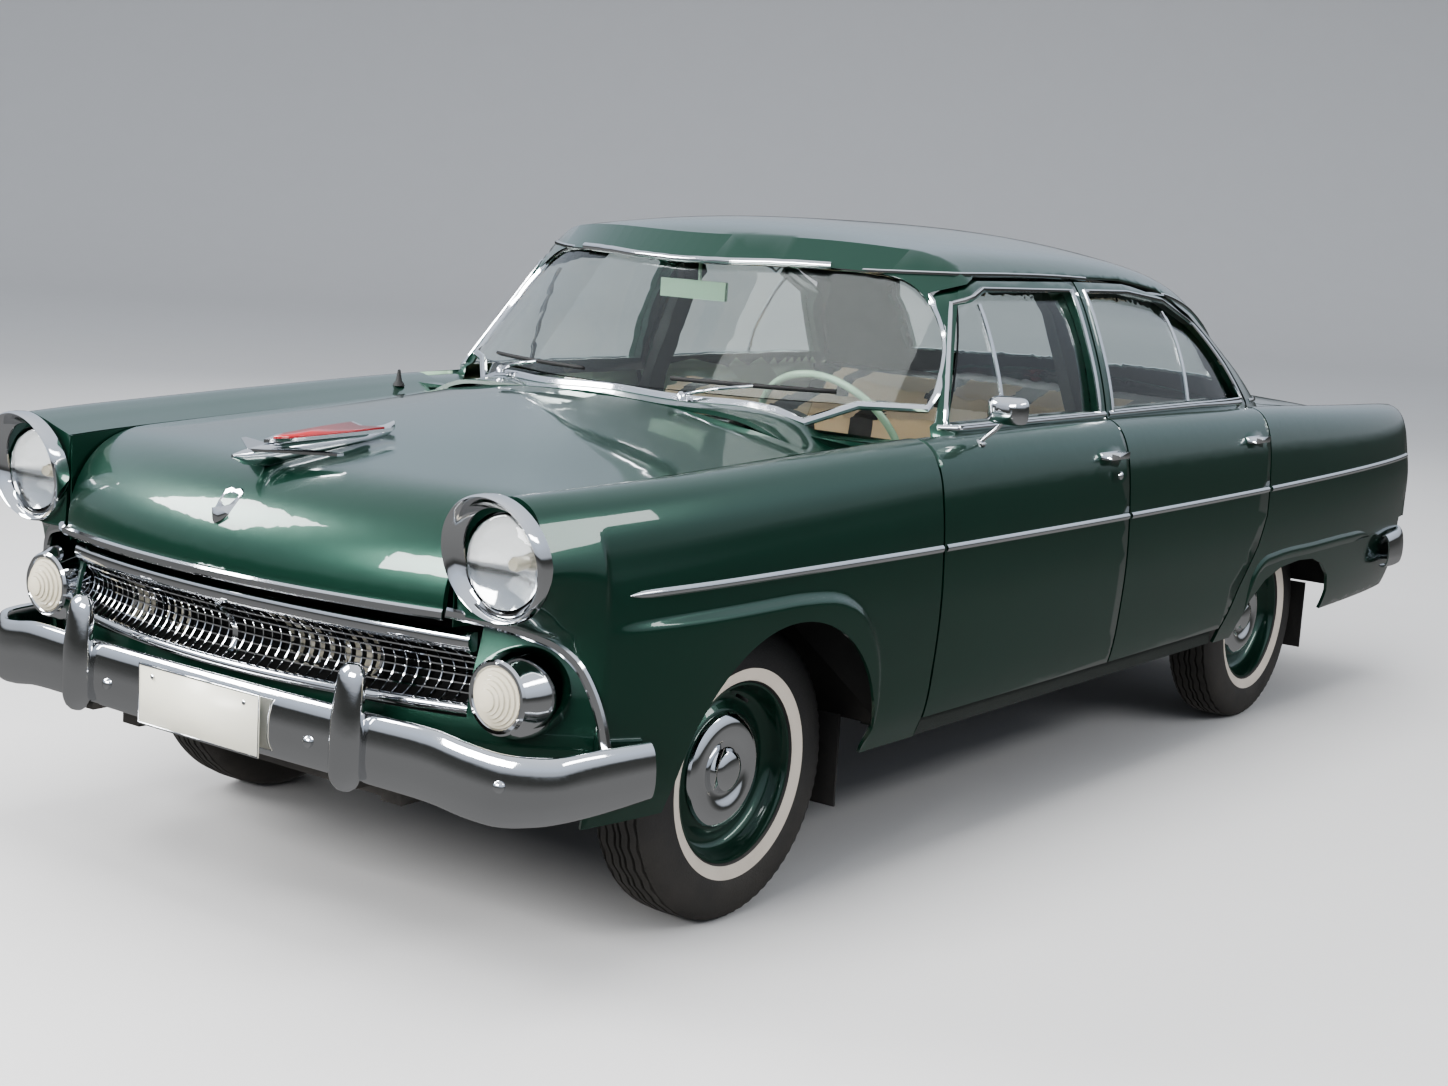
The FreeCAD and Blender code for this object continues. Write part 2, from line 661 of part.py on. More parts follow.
lampPlace = {"x": "dims.lampSpacing / 2", "y": "-2385", "z": "dims.lampHeight"}
parkPlace = {"x": "dims.parkSpacing / 2", "y": "-2373", "z": "dims.parkHeight"}
tailPlace = {"x": "745", "y": "2440", "z": "dims.tailLampHeight"}
pairNode("headlamp_rims", turned("headlamp_rim", [
    ("dims.lensRadius", "0"), ("dims.lampRadius - 4", "0"), ("dims.lampRadius", "-20"), ("dims.lampRadius - 6", "-46"),
    ("dims.lensRadius + 6", "-50"), ("dims.lensRadius", "-30")], axis="V_Axis", place=lampPlace))
pairNode("headlamp_lenses", turned("headlamp_lens", [
    ("0", "20"), ("dims.lensRadius", "12"), ("dims.lensRadius", "-6"), ("dims.lensRadius * 0.6", "-22"), ("0", "-30")],
    axis="V_Axis", place=lampPlace))
pairNode("parking_pods", turned("parking_pod", [
    ("dims.parkRadius * 0.6", "60"), ("dims.parkRadius", "40"), ("dims.parkRadius + 6", "12"),
    ("dims.parkRadius + 6", "-20"), ("dims.parkRadius", "-34"), ("dims.parkRadius * 0.6", "-30")],
    axis="V_Axis", place=parkPlace))
pairNode("parking_lenses", turned("parking_lens", [
    ("0", "-20"), ("dims.parkRadius * 0.6", "-20"), ("dims.parkRadius * 0.6", "-36"), ("dims.parkRadius * 0.2", "-64"),
    ("0", "-66")], axis="V_Axis", place=parkPlace))
pairNode("tail_lamps", turned("tail_lamp", [
    ("0", "-4"), ("dims.tailLampRadius - 8", "-4"), ("dims.tailLampRadius - 8", "0"), ("dims.tailLampRadius", "0"),
    ("dims.tailLampRadius - 10", "26"), ("0", "40")], axis="V_Axis", place=tailPlace))


def bumperBar(right, low, high, back):
    """A bowed bar with ends wrapped round the body, made from half of its plan line."""
    line = right[:-1] + [(-x, y) for x, y in reversed(right)]
    outer = spline([(x, y, low) for x, y in line])
    inner = spline([(x * 0.984, y + back, low) for x, y in reversed(line)])
    return Part.Face(closed([outer, inner])).extrude(Vector(0, 0, high - low))


frontEnd = -size.overallLength / 2
rearEnd = size.overallLength / 2
reach = -(size.overallWidth / 2 - 10)
frontBumper = bumperBar([(reach, frontEnd + 430), (reach + 6, frontEnd + 300), (-922, frontEnd + 150),
                         (-815, frontEnd + 72), (-650, frontEnd + 42), (-350, frontEnd + 26), (0, frontEnd + 20)],
                        385, 520, size.bumperDepth)
rearBumper = bumperBar([(reach, rearEnd - 330), (reach + 6, rearEnd - 240), (-922, rearEnd - 135),
                        (-800, rearEnd - 52), (-650, rearEnd - 26), (-350, rearEnd - 10), (0, rearEnd - 6)],
                       440, 570, -size.bumperDepth)
feature("front_bumper", frontBumper)
feature("rear_bumper", rearBumper)
guard = block((size.guardSpacing / 2 - 42, frontEnd, 375), (size.guardSpacing / 2 + 42, frontEnd + 38, 650))
guard = max(guard.cut(frontBumper).Solids, key=lambda piece: -piece.CenterOfMass.y)
feature("bumper_guards", bothSides(guard))
ornament = prismAcross([(-2440, 1040), (-2300, 1012), (-1980, 1044), (-1980, 1060), (-2300, 1050)], 14, -14)
feature("hood_ornament", largest(ornament.cut(hoodSkin)))

# Chassis

rail = prismAcross([(-2350, 430), (-1950, 430), (-1800, 500), (-1480, 500), (-1250, 399.7), (914, 399.7), (1010, 559.7),
                    (2380, 559.7), (2380, 470), (1060, 470), (930, 290), (-1230, 290), (-1480, 400), (-1800, 400),
                    (-1950, 330), (-2350, 330)], 460, 400)
members = [block((-400, -2350, 340), (400, -2290, 420)), block((-400, -1200, 300), (400, -1130, 390)),
           block((-400, 780, 300), (400, 850, 390)), block((-400, 2300, 480), (400, 2370, 550))]
for x in (-430, 430):
    members.append(largest(block((x - 25, frontEnd, 390), (x + 25, -2340, 425)).cut(frontBumper).common(
        block((x - 26, frontEnd + 45, 380), (x + 26, -2330, 430)))))
    members.append(largest(block((x - 25, 2375, 480), (x + 25, rearEnd - 20, 540)).cut(rearBumper)))
feature("frame_rails", bothSides(rail).fuse(members).removeSplitter())
kingpin = size.frontTrack / 2 - 50
crossMember = block((-399.7, frontAxle - 70, 240), (399.7, frontAxle + 70, 330))
armReach = kingpin - 18.3
arms = [block((390, frontAxle - 26, 244), (armReach, frontAxle + 26, 268)),
        block((430, frontAxle - 22, 500), (480, frontAxle + 22, 520))]
towers = prismAlong([(399.7, 500.3), (470, 500.3), (armReach, 446), (armReach, 424), (460.3, 470), (460.3, 500)],
                    frontAxle - 22, frontAxle + 22)
frontArms = bothSides(arms[0].fuse([towers, block((399.7, frontAxle - 40, 240), (460, frontAxle + 40, 399.7))]))
feature("front_cross_member", crossMember.fuse(frontArms.Solids).removeSplitter())
feature("engine_block", block((-260, frontAxle - 320, 330.3), (260, frontAxle + 360, 900)))
axleLength = size.rearTrack - 40.6
axleTube = Part.makeCylinder(38, axleLength, Vector(-axleLength / 2, rearAxle, axleHeight), Vector(1, 0, 0))
springs = [block((x - 28, rearAxle - 45, 372), (x + 28, rearAxle + 45, 469.7)) for x in (-430, 430)]
differential = Part.makeCylinder(130, 110, Vector(0, rearAxle - 55, axleHeight), Vector(0, 1, 0))
feature("rear_axle", axleTube.fuse([differential] + springs).removeSplitter())

for side, sign in (("l", 1), ("r", -1)):
    post = Part.makeCylinder(18, 236, Vector(sign * kingpin, frontAxle, axleHeight - 118), Vector(0, 0, 1))
    spindle = Part.makeCylinder(24, 29.7, Vector(sign * kingpin, frontAxle, axleHeight), Vector(sign, 0, 0))
    feature("knuckle_" + side, post.fuse(spindle).removeSplitter())

# Wheels: the rim with its disc and hub, and the tyre on it

wheelSpots = {"front_wheel_l": ("dims.frontTrack / 2", "dims.frontOverhang - dims.overallLength / 2", 1),
              "front_wheel_r": ("-dims.frontTrack / 2", "dims.frontOverhang - dims.overallLength / 2", -1),
              "rear_wheel_l": ("dims.rearTrack / 2", "dims.frontOverhang + dims.wheelbase - dims.overallLength / 2", 1),
              "rear_wheel_r": ("-dims.rearTrack / 2", "dims.frontOverhang + dims.wheelbase - dims.overallLength / 2", -1)}
for name, (across, along, out) in wheelSpots.items():
    place = {"x": across, "y": along, "z": "dims.tyreRadius"}
    outline = [(-69, 176), (-69, 206), (-61, 206), (-61, 182.7), (61, 182.7), (61, 206), (69, 206), (69, 176),
               (10, 172), (2, 160), (14, 134), (38, 132), (44, 100), (40, 62), (60, 50), (68, 20), (70, 0),
               (-20, 0), (-20, 60), (0, 62), (4, 120), (-12, 160), (-14, 172)]
    nodes[name] = turned(name, [(str(out * a), str(r)) for a, r in outline], place=place)
    tyreName = name.replace("wheel", "tyre")
    nodes[tyreName] = turned(tyreName,
           [("-60", "183"), ("-60", "207"), ("-69", "209"), ("-80", "240"), ("-86", "275"), ("-80", "318"),
            ("-62", "340"), ("0", "dims.tyreRadius"), ("62", "340"), ("80", "318"), ("86", "275"), ("80", "240"),
            ("69", "209"), ("60", "207"), ("60", "183")], place=place)

# Inside

seatProfile = [(60, -147.7), (430, -147.7), (460, 0), (520, 30), (520, 190), (60, 150), (-20, 480), (-150, 520),
               (-150, 0), (60, 0)]


tunnelSpace = block((-60.3, -1180, 400), (60.3, 300.3, 470.3))


def bench(y, floorZ):
    points = [(y - a, floorZ + b) for a, b in seatProfile]
    return prismAcross(points, 640, -640).cut(tunnelSpace)


feature("front_bench", bench(-180, 560))
feature("rear_bench", bench(720, 560))
ringCentre = Vector(380, -700, 991)
lean = Vector(0, 0.866, 0.5).normalize()
columnTop = ringCentre - lean * 30.3
column = tube([tuple(ringCentre - lean * 540), tuple(columnTop)], 22).cut(dash)
feature("steering_column", column)
ring = Part.makeTorus(size.steeringWheelRadius, 10, ringCentre, lean)
hub = Part.makeCylinder(34, 44, ringCentre - lean * 30, lean)
spoke = Part.makeBox(2 * size.steeringWheelRadius, 22, 10, Vector(-size.steeringWheelRadius, -11, -5))
spoke.Placement = FreeCAD.Placement(ringCentre, FreeCAD.Rotation(Vector(0, 0, 1), lean))
feature("steering_wheel", ring.fuse([hub, spoke]).removeSplitter())
stem = min(Part.makeCylinder(5, 150, Vector(0, -820, 1380)).cut(roof).Solids, key=lambda piece: piece.CenterOfMass.z)
feature("interior_mirror", block((-110, -850, 1352), (110, -838, 1402)).fuse([stem,
        block((-8, -840, 1370), (8, -812, 1386))]).removeSplitter())
mirrorHead = block((900, -790, 1110), (1005, -770, 1180))
mirrorArm = tube([(890, -780, 1052), (940, -780, 1112)], 7).cut(frontDoor)
feature("door_mirror", largest(mirrorHead.fuse(mirrorArm)))
doc.recompute()
os.makedirs("parts", exist_ok=True)
for item in doc.Objects:
    if "Invalid" in item.State or "Error" in item.State:
        raise RuntimeError(f"{item.Label} failed: {item.State}")
for name, item in nodes.items():
    if item.Shape.isNull() or not item.Shape.isValid():
        raise RuntimeError(f"{name} has no valid shape")
    item.Shape.exportStep(f"parts/{name}.step")
    print(name, len(item.Shape.Solids), round(item.Shape.Volume / 1e6, 2), "litres")
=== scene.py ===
# Mid-1950s four-door saloon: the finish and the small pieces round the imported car
import bmesh
import bpy
import json
import math
import numpy as np
from mathutils import Matrix, Vector
from mathutils.bvhtree import BVHTree

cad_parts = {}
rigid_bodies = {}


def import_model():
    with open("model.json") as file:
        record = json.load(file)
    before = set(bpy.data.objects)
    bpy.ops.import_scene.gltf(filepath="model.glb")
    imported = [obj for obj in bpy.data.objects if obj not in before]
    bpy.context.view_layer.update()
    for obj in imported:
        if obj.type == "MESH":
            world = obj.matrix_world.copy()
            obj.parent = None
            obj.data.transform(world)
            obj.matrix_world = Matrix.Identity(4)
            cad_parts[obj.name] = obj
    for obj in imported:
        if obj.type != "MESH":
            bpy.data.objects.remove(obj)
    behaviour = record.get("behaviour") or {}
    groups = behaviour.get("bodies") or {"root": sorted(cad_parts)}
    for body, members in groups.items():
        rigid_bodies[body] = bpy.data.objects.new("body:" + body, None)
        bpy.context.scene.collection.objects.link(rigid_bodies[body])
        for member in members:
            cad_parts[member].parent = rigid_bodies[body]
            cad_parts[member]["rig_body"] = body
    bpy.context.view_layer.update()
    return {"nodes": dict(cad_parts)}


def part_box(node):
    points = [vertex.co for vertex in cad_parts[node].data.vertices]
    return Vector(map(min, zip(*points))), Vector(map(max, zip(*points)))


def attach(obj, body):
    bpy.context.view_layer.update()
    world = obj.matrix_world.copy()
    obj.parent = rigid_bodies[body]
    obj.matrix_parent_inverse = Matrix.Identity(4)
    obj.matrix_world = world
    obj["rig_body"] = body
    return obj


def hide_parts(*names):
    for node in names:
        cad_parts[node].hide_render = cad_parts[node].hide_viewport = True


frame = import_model()
scene = bpy.context.scene
mm = 0.001
print("frame loaded,", len(frame["nodes"]), "nodes")


# Meshes; places and outlines are in millimetres, and points of a mesh that is already made are in metres

def makeObject(name, mesh):
    piece = bpy.data.objects.new(name, mesh)
    scene.collection.objects.link(piece)
    return piece


def makeMesh(name, points, faces):
    mesh = bpy.data.meshes.new(name)
    mesh.from_pydata([tuple(p) for p in points], [], faces)
    mesh.update()
    mesh.shade_smooth()
    return makeObject(name, mesh)


# Merges doubles and turns every face outwards
def outward(piece):
    shape = bmesh.new()
    shape.from_mesh(piece.data)
    bmesh.ops.remove_doubles(shape, verts=shape.verts, dist=1e-6)
    bmesh.ops.recalc_face_normals(shape, faces=shape.faces)
    shape.to_mesh(piece.data)
    shape.free()
    return piece


def sharpen(piece, degrees=32):
    piece.data.shade_smooth()
    piece.data.set_sharp_from_angle(angle=math.radians(degrees))
    return piece


# One object made of several, which go away
def joined(name, pieces):
    shape = bmesh.new()
    materials = []
    for piece in pieces:
        before = len(shape.faces)
        shape.from_mesh(piece.data)
        shape.faces.ensure_lookup_table()
        slots = list(piece.data.materials)
        materials += [material for material in slots if material not in materials]
        for i in range(before, len(shape.faces)):
            face = shape.faces[i]
            if slots:
                face.material_index = materials.index(slots[min(face.material_index, len(slots) - 1)])
    mesh = bpy.data.meshes.new(name)
    shape.to_mesh(mesh)
    shape.free()
    for material in materials:
        mesh.materials.append(material)
    for piece in pieces:
        bpy.data.objects.remove(piece)
    return makeObject(name, mesh)


# A smooth step between two values with the slopes at its ends, as u goes from 0 to 1
def hermite(u, step, values, slopes):
    low = (2 * u ** 3 - 3 * u ** 2 + 1) * values[0] + (u ** 3 - 2 * u ** 2 + u) * step * slopes[0]
    high = (3 * u ** 2 - 2 * u ** 3) * values[1] + (u ** 3 - u ** 2) * step * slopes[1]
    return low + high


# A smooth function of one value through its knots, straight beyond the ends
def smoothLine(*knots):
    xs = [float(k[0]) for k in knots]
    ys = [float(k[1]) for k in knots]
    last = len(knots) - 1
    slopes = []
    for i in range(len(knots)):
        before, after = max(i - 1, 0), min(i + 1, last)
        slopes.append((ys[after] - ys[before]) / (xs[after] - xs[before]))

    def value(x):
        if x <= xs[0]:
            return ys[0] + slopes[0] * (x - xs[0])
        if x >= xs[-1]:
            return ys[-1] + slopes[-1] * (x - xs[-1])
        i = max(n for n in range(last) if xs[n] <= x)
        step = xs[i + 1] - xs[i]
        return hermite((x - xs[i]) / step, step, ys[i:i + 2], slopes[i:i + 2])

    return value


# A smooth line through the points, with so many steps in each of its spans
def densify(points, counts):
    points = np.array(points, float)
    reach = np.concatenate(([0.0], np.cumsum(np.linalg.norm(np.diff(points, axis=0), axis=1))))
    slopes = np.gradient(points, reach, axis=0)
    line = []
    for i, count in enumerate(counts):
        step = reach[i + 1] - reach[i]
        line += [hermite(k / count, step, points[i:i + 2], slopes[i:i + 2]) for k in range(count)]
    line.append(points[-1])
    return np.array(line)


# A sheet through rows of points; wrap closes each row, closed joins the last row to the first
def gridMesh(name, rows, wrap=False, caps=False, closed=False):
    rows = np.array(rows, float) * mm
    count, size = rows.shape[:2]
    faces = []
    for i in range(count if closed else count - 1):
        j = (i + 1) % count
        for k in range(size if wrap else size - 1):
            n = (k + 1) % size
            faces.append((i * size + k, i * size + n, j * size + n, j * size + k))
    if caps:
        faces.append(tuple(reversed(range(size))))
        faces.append(tuple((count - 1) * size + k for k in range(size)))
    return outward(makeMesh(name, rows.reshape(-1, 3), faces))


# A closed profile of (across, up) points carried along a line; up leans to the side vector
def sweep(name, line, profile, side=(0, 0, 1), closedLine=False, scale=None):
    line = [Vector(p) for p in line]
    count = len(line)
    rows = []
    for i, p in enumerate(line):
        after = line[(i + 1) % count] if closedLine else line[min(i + 1, count - 1)]
        before = line[i - 1] if closedLine or i else line[0]
        along = (after - before).normalized()
        across = along.cross(Vector(side)).normalized()
        up = across.cross(along).normalized()
        share = scale[i] if scale else 1.0
        rows.append([p + across * a * share + up * b * share for a, b in profile])
    return gridMesh(name, rows, wrap=True, caps=not closedLine, closed=closedLine)


def ringProfile(radius, sides=12):
    turns = [2 * math.pi * i / sides for i in range(sides)]
    return [(radius * math.cos(turn), radius * math.sin(turn)) for turn in turns]


# An outline of (radius, along) points turned about an axis of the car through a centre
def lathe(name, outline, centre, sides, axis="Y", closedLine=False):
    rows = []
    for c, s in ringProfile(1, sides):
        row = []
        for radius, along in outline:
            local = {"X": (along, radius * c, radius * s), "Y": (radius * c, along, radius * s),
                     "Z": (radius * c, radius * s, along)}[axis]
            row.append(Vector(centre) + Vector(local))
        rows.append(row)
    return gridMesh(name, rows, wrap=closedLine, closed=True)


# A polygon carried along X, Y or Z between two limits
def prismOf(name, outline, axis, low, high):
    def place(a, b, c):
        return {"X": (c, a, b), "Y": (a, c, b), "Z": (a, b, c)}[axis]
    return gridMesh(name, [[place(a, b, c) for a, b in outline] for c in (low, high)], wrap=True, caps=True)


def boxOf(name, low, high):
    corners = [(low[0], low[1]), (high[0], low[1]), (high[0], high[1]), (low[0], high[1])]
    return prismOf(name, corners, "Z", low[2], high[2])


# A long round bar for cutting holes
def plug(radius, centre, sides, axis):
    return lathe("plug", [(0, -300), (radius, -300), (radius, 300), (0, 300)], centre, sides, axis)


# A dome-headed bolt facing a direction
def domeBolt(name, place, toward, radius):
    outline = [(share * radius, rise * radius)
               for share, rise in ((1, 0), (0.95, 0.3), (0.7, 0.55), (0.35, 0.68), (0, 0.72))]
    bolt = lathe(name, outline, (0, 0, 0), 20, "Z")
    turn = Vector((0, 0, 1)).rotation_difference(Vector(toward)).to_matrix().to_4x4()
    bolt.data.transform(Matrix.Translation(Vector(place) * mm) @ turn)
    return sharpen(bolt)


# The same piece on the other side of the car
def mirroredCopy(piece, name):
    mesh = piece.data.copy()
    mesh.name = name
    mesh.transform(Matrix.Scale(-1, 4, (1, 0, 0)))
    mesh.flip_normals()
    return makeObject(name, mesh)


def bothSides(name, piece):
    return joined(name, [piece, mirroredCopy(piece, name + "_twin")])


# The piece with its modifiers worked out into a plain mesh
def applied(piece):
    bpy.context.view_layer.update()
    graph = bpy.context.evaluated_depsgraph_get()
    mesh = bpy.data.meshes.new_from_object(piece.evaluated_get(graph))
    piece.modifiers.clear()
    piece.data = mesh
    return piece


# The sheet with a thickness behind it
def thickened(piece, depth):
    step = piece.modifiers.new("thickness", "SOLIDIFY")
    step.thickness = depth * mm
    step.offset = -1
    return applied(piece)


# The piece without what the tool covers; the tool goes away
def cutBy(piece, tool):
    step = piece.modifiers.new("cut", "BOOLEAN")
    step.operation = "DIFFERENCE"
    step.solver = "EXACT"
    step.object = tool
    applied(piece)
    bpy.data.objects.remove(tool)
    return piece


# A search tree of a piece's faces, for rays
def treeOf(piece):
    mesh = piece.data
    return BVHTree.FromPolygons([v.co for v in mesh.vertices], [tuple(p.vertices) for p in mesh.polygons])


# Where a ray meets a piece
def hitPoint(tree, start, direction, reach=10000):
    spot = tree.ray_cast(Vector(start) * mm, Vector(direction), reach * mm)[0]
    return spot / mm if spot else None


# The first place, in steps up from a height, where a ray from the front meets a piece ahead of a limit
def lowestHit(tree, x, floor, step, limit):
    for i in range(120):
        spot = hitPoint(tree, (x, -3000, floor + step * i), (0, 1, 0))
        if spot and spot.y < limit:
            return spot
    return None


# Finishes

# An empty shader group with named float inputs and outputs
def groupOf(name, inputs, outputs):
    group = bpy.data.node_groups.new(name, "ShaderNodeTree")
    for label, value in inputs:
        socket = group.interface.new_socket(label, in_out="INPUT", socket_type="NodeSocketFloat")
        socket.default_value = value
    for label in outputs:
        group.interface.new_socket(label, in_out="OUTPUT", socket_type="NodeSocketFloat")
    start = group.nodes.new("NodeGroupInput")
    end = group.nodes.new("NodeGroupOutput")
    return group, start, end


def mathNode(tree, operation, a, b):
    node = tree.nodes.new("ShaderNodeMath")
    node.operation = operation
    for socket, value in zip(node.inputs, (a, b)):
        if isinstance(value, (int, float)):
            socket.default_value = value
        else:
            tree.links.new(value, socket)
    return node.outputs[0]


# Fine unevenness: a broad mask, a fine mask and a height for bump
def buildGrain():
    group, start, end = groupOf("grain", [("Broad", 3.0), ("Fine", 90.0), ("Mix", 0.5)],
                                ["Mask", "Speck", "Height"])
    place = group.nodes.new("ShaderNodeTexCoord").outputs["Object"]
    masks = []
    for label, detail in (("Broad", 3.0), ("Fine", 6.0)):
        noise = group.nodes.new("ShaderNodeTexNoise")
        noise.inputs["Detail"].default_value = detail
        group.links.new(place, noise.inputs["Vector"])
        group.links.new(start.outputs[label], noise.inputs["Scale"])
        masks.append(noise.outputs["Fac"])
    share = mathNode(group, "MULTIPLY", masks[1], start.outputs["Mix"])
    group.links.new(masks[0], end.inputs["Mask"])
    group.links.new(masks[1], end.inputs["Speck"])
    group.links.new(mathNode(group, "ADD", masks[0], share), end.inputs["Height"])
    return group


# A mask that grows towards the ground, broken up by noise
def buildDust():
    group, start, end = groupOf("roadDust", [("Top", 0.6), ("Amount", 0.4)], ["Mask"])
    place = group.nodes.new("ShaderNodeTexCoord").outputs["Object"]
    split = group.nodes.new("ShaderNodeSeparateXYZ")
    group.links.new(place, split.inputs[0])
    below = mathNode(group, "SUBTRACT", start.outputs["Top"], split.outputs["Z"])
    fade = mathNode(group, "DIVIDE", below, start.outputs["Top"])
    noise = group.nodes.new("ShaderNodeTexNoise")
    noise.inputs["Scale"].default_value = 9.0
    noise.inputs["Detail"].default_value = 5.0
    group.links.new(place, noise.inputs["Vector"])
    shaded = mathNode(group, "MULTIPLY", fade, noise.outputs["Fac"])
    strength = mathNode(group, "MULTIPLY", shaded, start.outputs["Amount"])
    held = mathNode(group, "MAXIMUM", strength, 0.0)
    group.links.new(mathNode(group, "MINIMUM", held, 1.0), end.inputs["Mask"])
    return group


grain = buildGrain()
roadDust = buildDust()
dustColour = (0.20, 0.17, 0.13, 1)
bumpStrength = 0.4

finishes = {
    "paint": {"colour": (0.007, 0.042, 0.026), "second": (0.009, 0.050, 0.031), "metallic": 0.6, "dust": 0.06,
              "rough": (0.28, 0.34), "coat": 1.0, "coatRough": 0.02, "fine": 900.0, "bump": 0.0004},
    "chrome": {"colour": (0.80, 0.81, 0.82), "second": (0.70, 0.71, 0.73), "metallic": 1.0,
               "rough": (0.04, 0.10), "fine": 60.0, "bump": 0.0004, "dust": 0.10},
    "blackSteel": {"colour": (0.014, 0.014, 0.015), "second": (0.03, 0.028, 0.026), "rough": (0.5, 0.7),
                   "fine": 70.0, "bump": 0.004, "dust": 0.5},
    "rubber": {"colour": (0.013, 0.013, 0.014), "second": (0.024, 0.023, 0.022), "rough": (0.55, 0.75),
               "fine": 260.0, "bump": 0.006, "dust": 0.25},
    "whitewall": {"colour": (0.60, 0.54, 0.47), "second": (0.52, 0.46, 0.39), "rough": (0.5, 0.62),
                  "fine": 160.0, "bump": 0.003, "dust": 0.5},
    "seatCloth": {"colour": (0.60, 0.46, 0.30), "second": (0.50, 0.37, 0.23), "rough": (0.75, 0.9),
                  "fine": 420.0, "bump": 0.02, "sheen": 0.3},
    "seatBand": {"colour": (0.016, 0.015, 0.015), "second": (0.03, 0.028, 0.027), "rough": (0.5, 0.65),
                 "fine": 420.0, "bump": 0.01, "sheen": 0.1},
    "mint": {"colour": (0.36, 0.52, 0.37), "second": (0.32, 0.47, 0.33), "rough": (0.25, 0.35), "coat": 0.5,
             "fine": 80.0, "bump": 0.001},
    "cabinDark": {"colour": (0.022, 0.026, 0.022), "second": (0.03, 0.034, 0.028), "rough": (0.6, 0.8),
                  "fine": 300.0, "bump": 0.01},
    "iron": {"colour": (0.05, 0.05, 0.05), "second": (0.08, 0.07, 0.06), "metallic": 0.5, "rough": (0.5, 0.7),
             "fine": 50.0, "bump": 0.02, "dust": 0.4},
    "glass": {"colour": (0.90, 0.95, 0.93), "second": (0.89, 0.94, 0.92), "rough": (0.0, 0.01),
              "specular": 0.22, "transmission": 1.0, "ior": 1.45, "fine": 8.0, "bump": 0.0},
    "lampGlass": {"colour": (0.92, 0.93, 0.92), "second": (0.90, 0.91, 0.90), "rough": (0.02, 0.06),
                  "transmission": 1.0, "ior": 1.45, "fine": 40.0, "bump": 0.002},
    "creamLens": {"colour": (0.80, 0.74, 0.60), "second": (0.74, 0.68, 0.54), "rough": (0.12, 0.2),
                  "transmission": 0.35, "ior": 1.45, "fine": 60.0, "bump": 0.002, "coat": 0.6},
    "redLens": {"colour": (0.45, 0.006, 0.008), "second": (0.38, 0.004, 0.006), "rough": (0.08, 0.14),
                "transmission": 0.4, "ior": 1.45, "fine": 60.0, "bump": 0.002, "coat": 0.6},
    "redEnamel": {"colour": (0.36, 0.012, 0.014), "second": (0.30, 0.010, 0.012), "rough": (0.18, 0.26),
                  "fine": 60.0, "bump": 0.001, "coat": 0.8},
    # Matt black for the sheet of painted shade behind the grille
    "paintedShade": {"colour": (0.004, 0.004, 0.004), "second": (0.006, 0.006, 0.006), "rough": (0.8, 0.9),
              "fine": 60.0, "bump": 0.001},
    "plateCream": {"colour": (0.72, 0.70, 0.60), "second": (0.64, 0.62, 0.52), "rough": (0.3, 0.42),
                   "fine": 40.0, "bump": 0.002, "dust": 0.3},
}


# A Principled material whose colour, roughness and bump come from the shared groups
def buildFinish(name, recipe):
    material = bpy.data.materials.new(name)
    material.use_nodes = True
    tree = material.node_tree
    shader = tree.nodes["Principled BSDF"]
    fine = tree.nodes.new("ShaderNodeGroup")
    fine.node_tree = grain
    fine.inputs["Fine"].default_value = recipe["fine"]
    colour = tree.nodes.new("ShaderNodeMix")
    colour.data_type = "RGBA"
    colour.inputs[6].default_value = (*recipe["colour"], 1)
    colour.inputs[7].default_value = (*recipe["second"], 1)
    tree.links.new(fine.outputs["Mask"], colour.inputs[0])
    result = colour.outputs[2]
    if "dust" in recipe:
        dust = tree.nodes.new("ShaderNodeGroup")
        dust.node_tree = roadDust
        dust.inputs["Amount"].default_value = recipe["dust"]
        dusty = tree.nodes.new("ShaderNodeMix")
        dusty.data_type = "RGBA"
        dusty.inputs[7].default_value = dustColour
        tree.links.new(dust.outputs["Mask"], dusty.inputs[0])
        tree.links.new(result, dusty.inputs[6])
        result = dusty.outputs[2]
    tree.links.new(result, shader.inputs["Base Color"])
    low, high = recipe["rough"]
    spreadOut = mathNode(tree, "MULTIPLY", fine.outputs["Speck"], high - low)
    tree.links.new(mathNode(tree, "ADD", spreadOut, low), shader.inputs["Roughness"])
    for label, key, usual in (("Metallic", "metallic", 0.0), ("IOR", "ior", 1.5),
                              ("Specular IOR Level", "specular", 0.5), ("Coat Weight", "coat", 0.0),
                              ("Coat Roughness", "coatRough", 0.05), ("Sheen Weight", "sheen", 0.0),
                              ("Transmission Weight", "transmission", 0.0)):
        shader.inputs[label].default_value = recipe.get(key, usual)
    if recipe.get("bump"):
        bump = tree.nodes.new("ShaderNodeBump")
        bump.inputs["Strength"].default_value = bumpStrength
        bump.inputs["Distance"].default_value = recipe["bump"]
        tree.links.new(fine.outputs["Height"], bump.inputs["Height"])
        tree.links.new(bump.outputs["Normal"], shader.inputs["Normal"])
    return material


finish = {name: buildFinish(name, recipe) for name, recipe in finishes.items()}
print("finishes made,", len(finish))


# The piece with its materials; pick(centre, normal) gives the number of a face's material
def finished(piece, *names, pick=None):
    piece.data.materials.clear()
    for name in names:
        piece.data.materials.append(finish[name])
    for face in piece.data.polygons:
        face.material_index = pick(face.center, face.normal) if pick else 0
    return piece


# The piece rides with a CAD node's body and may stand for the node
def settle(piece, node, standsFor=False):
    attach(piece, frame["nodes"][node]["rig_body"])
    if standsFor:
        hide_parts(node)
    return piece


def placed(piece, name, node, standsFor=False):
    return settle(finished(piece, name), node, standsFor)


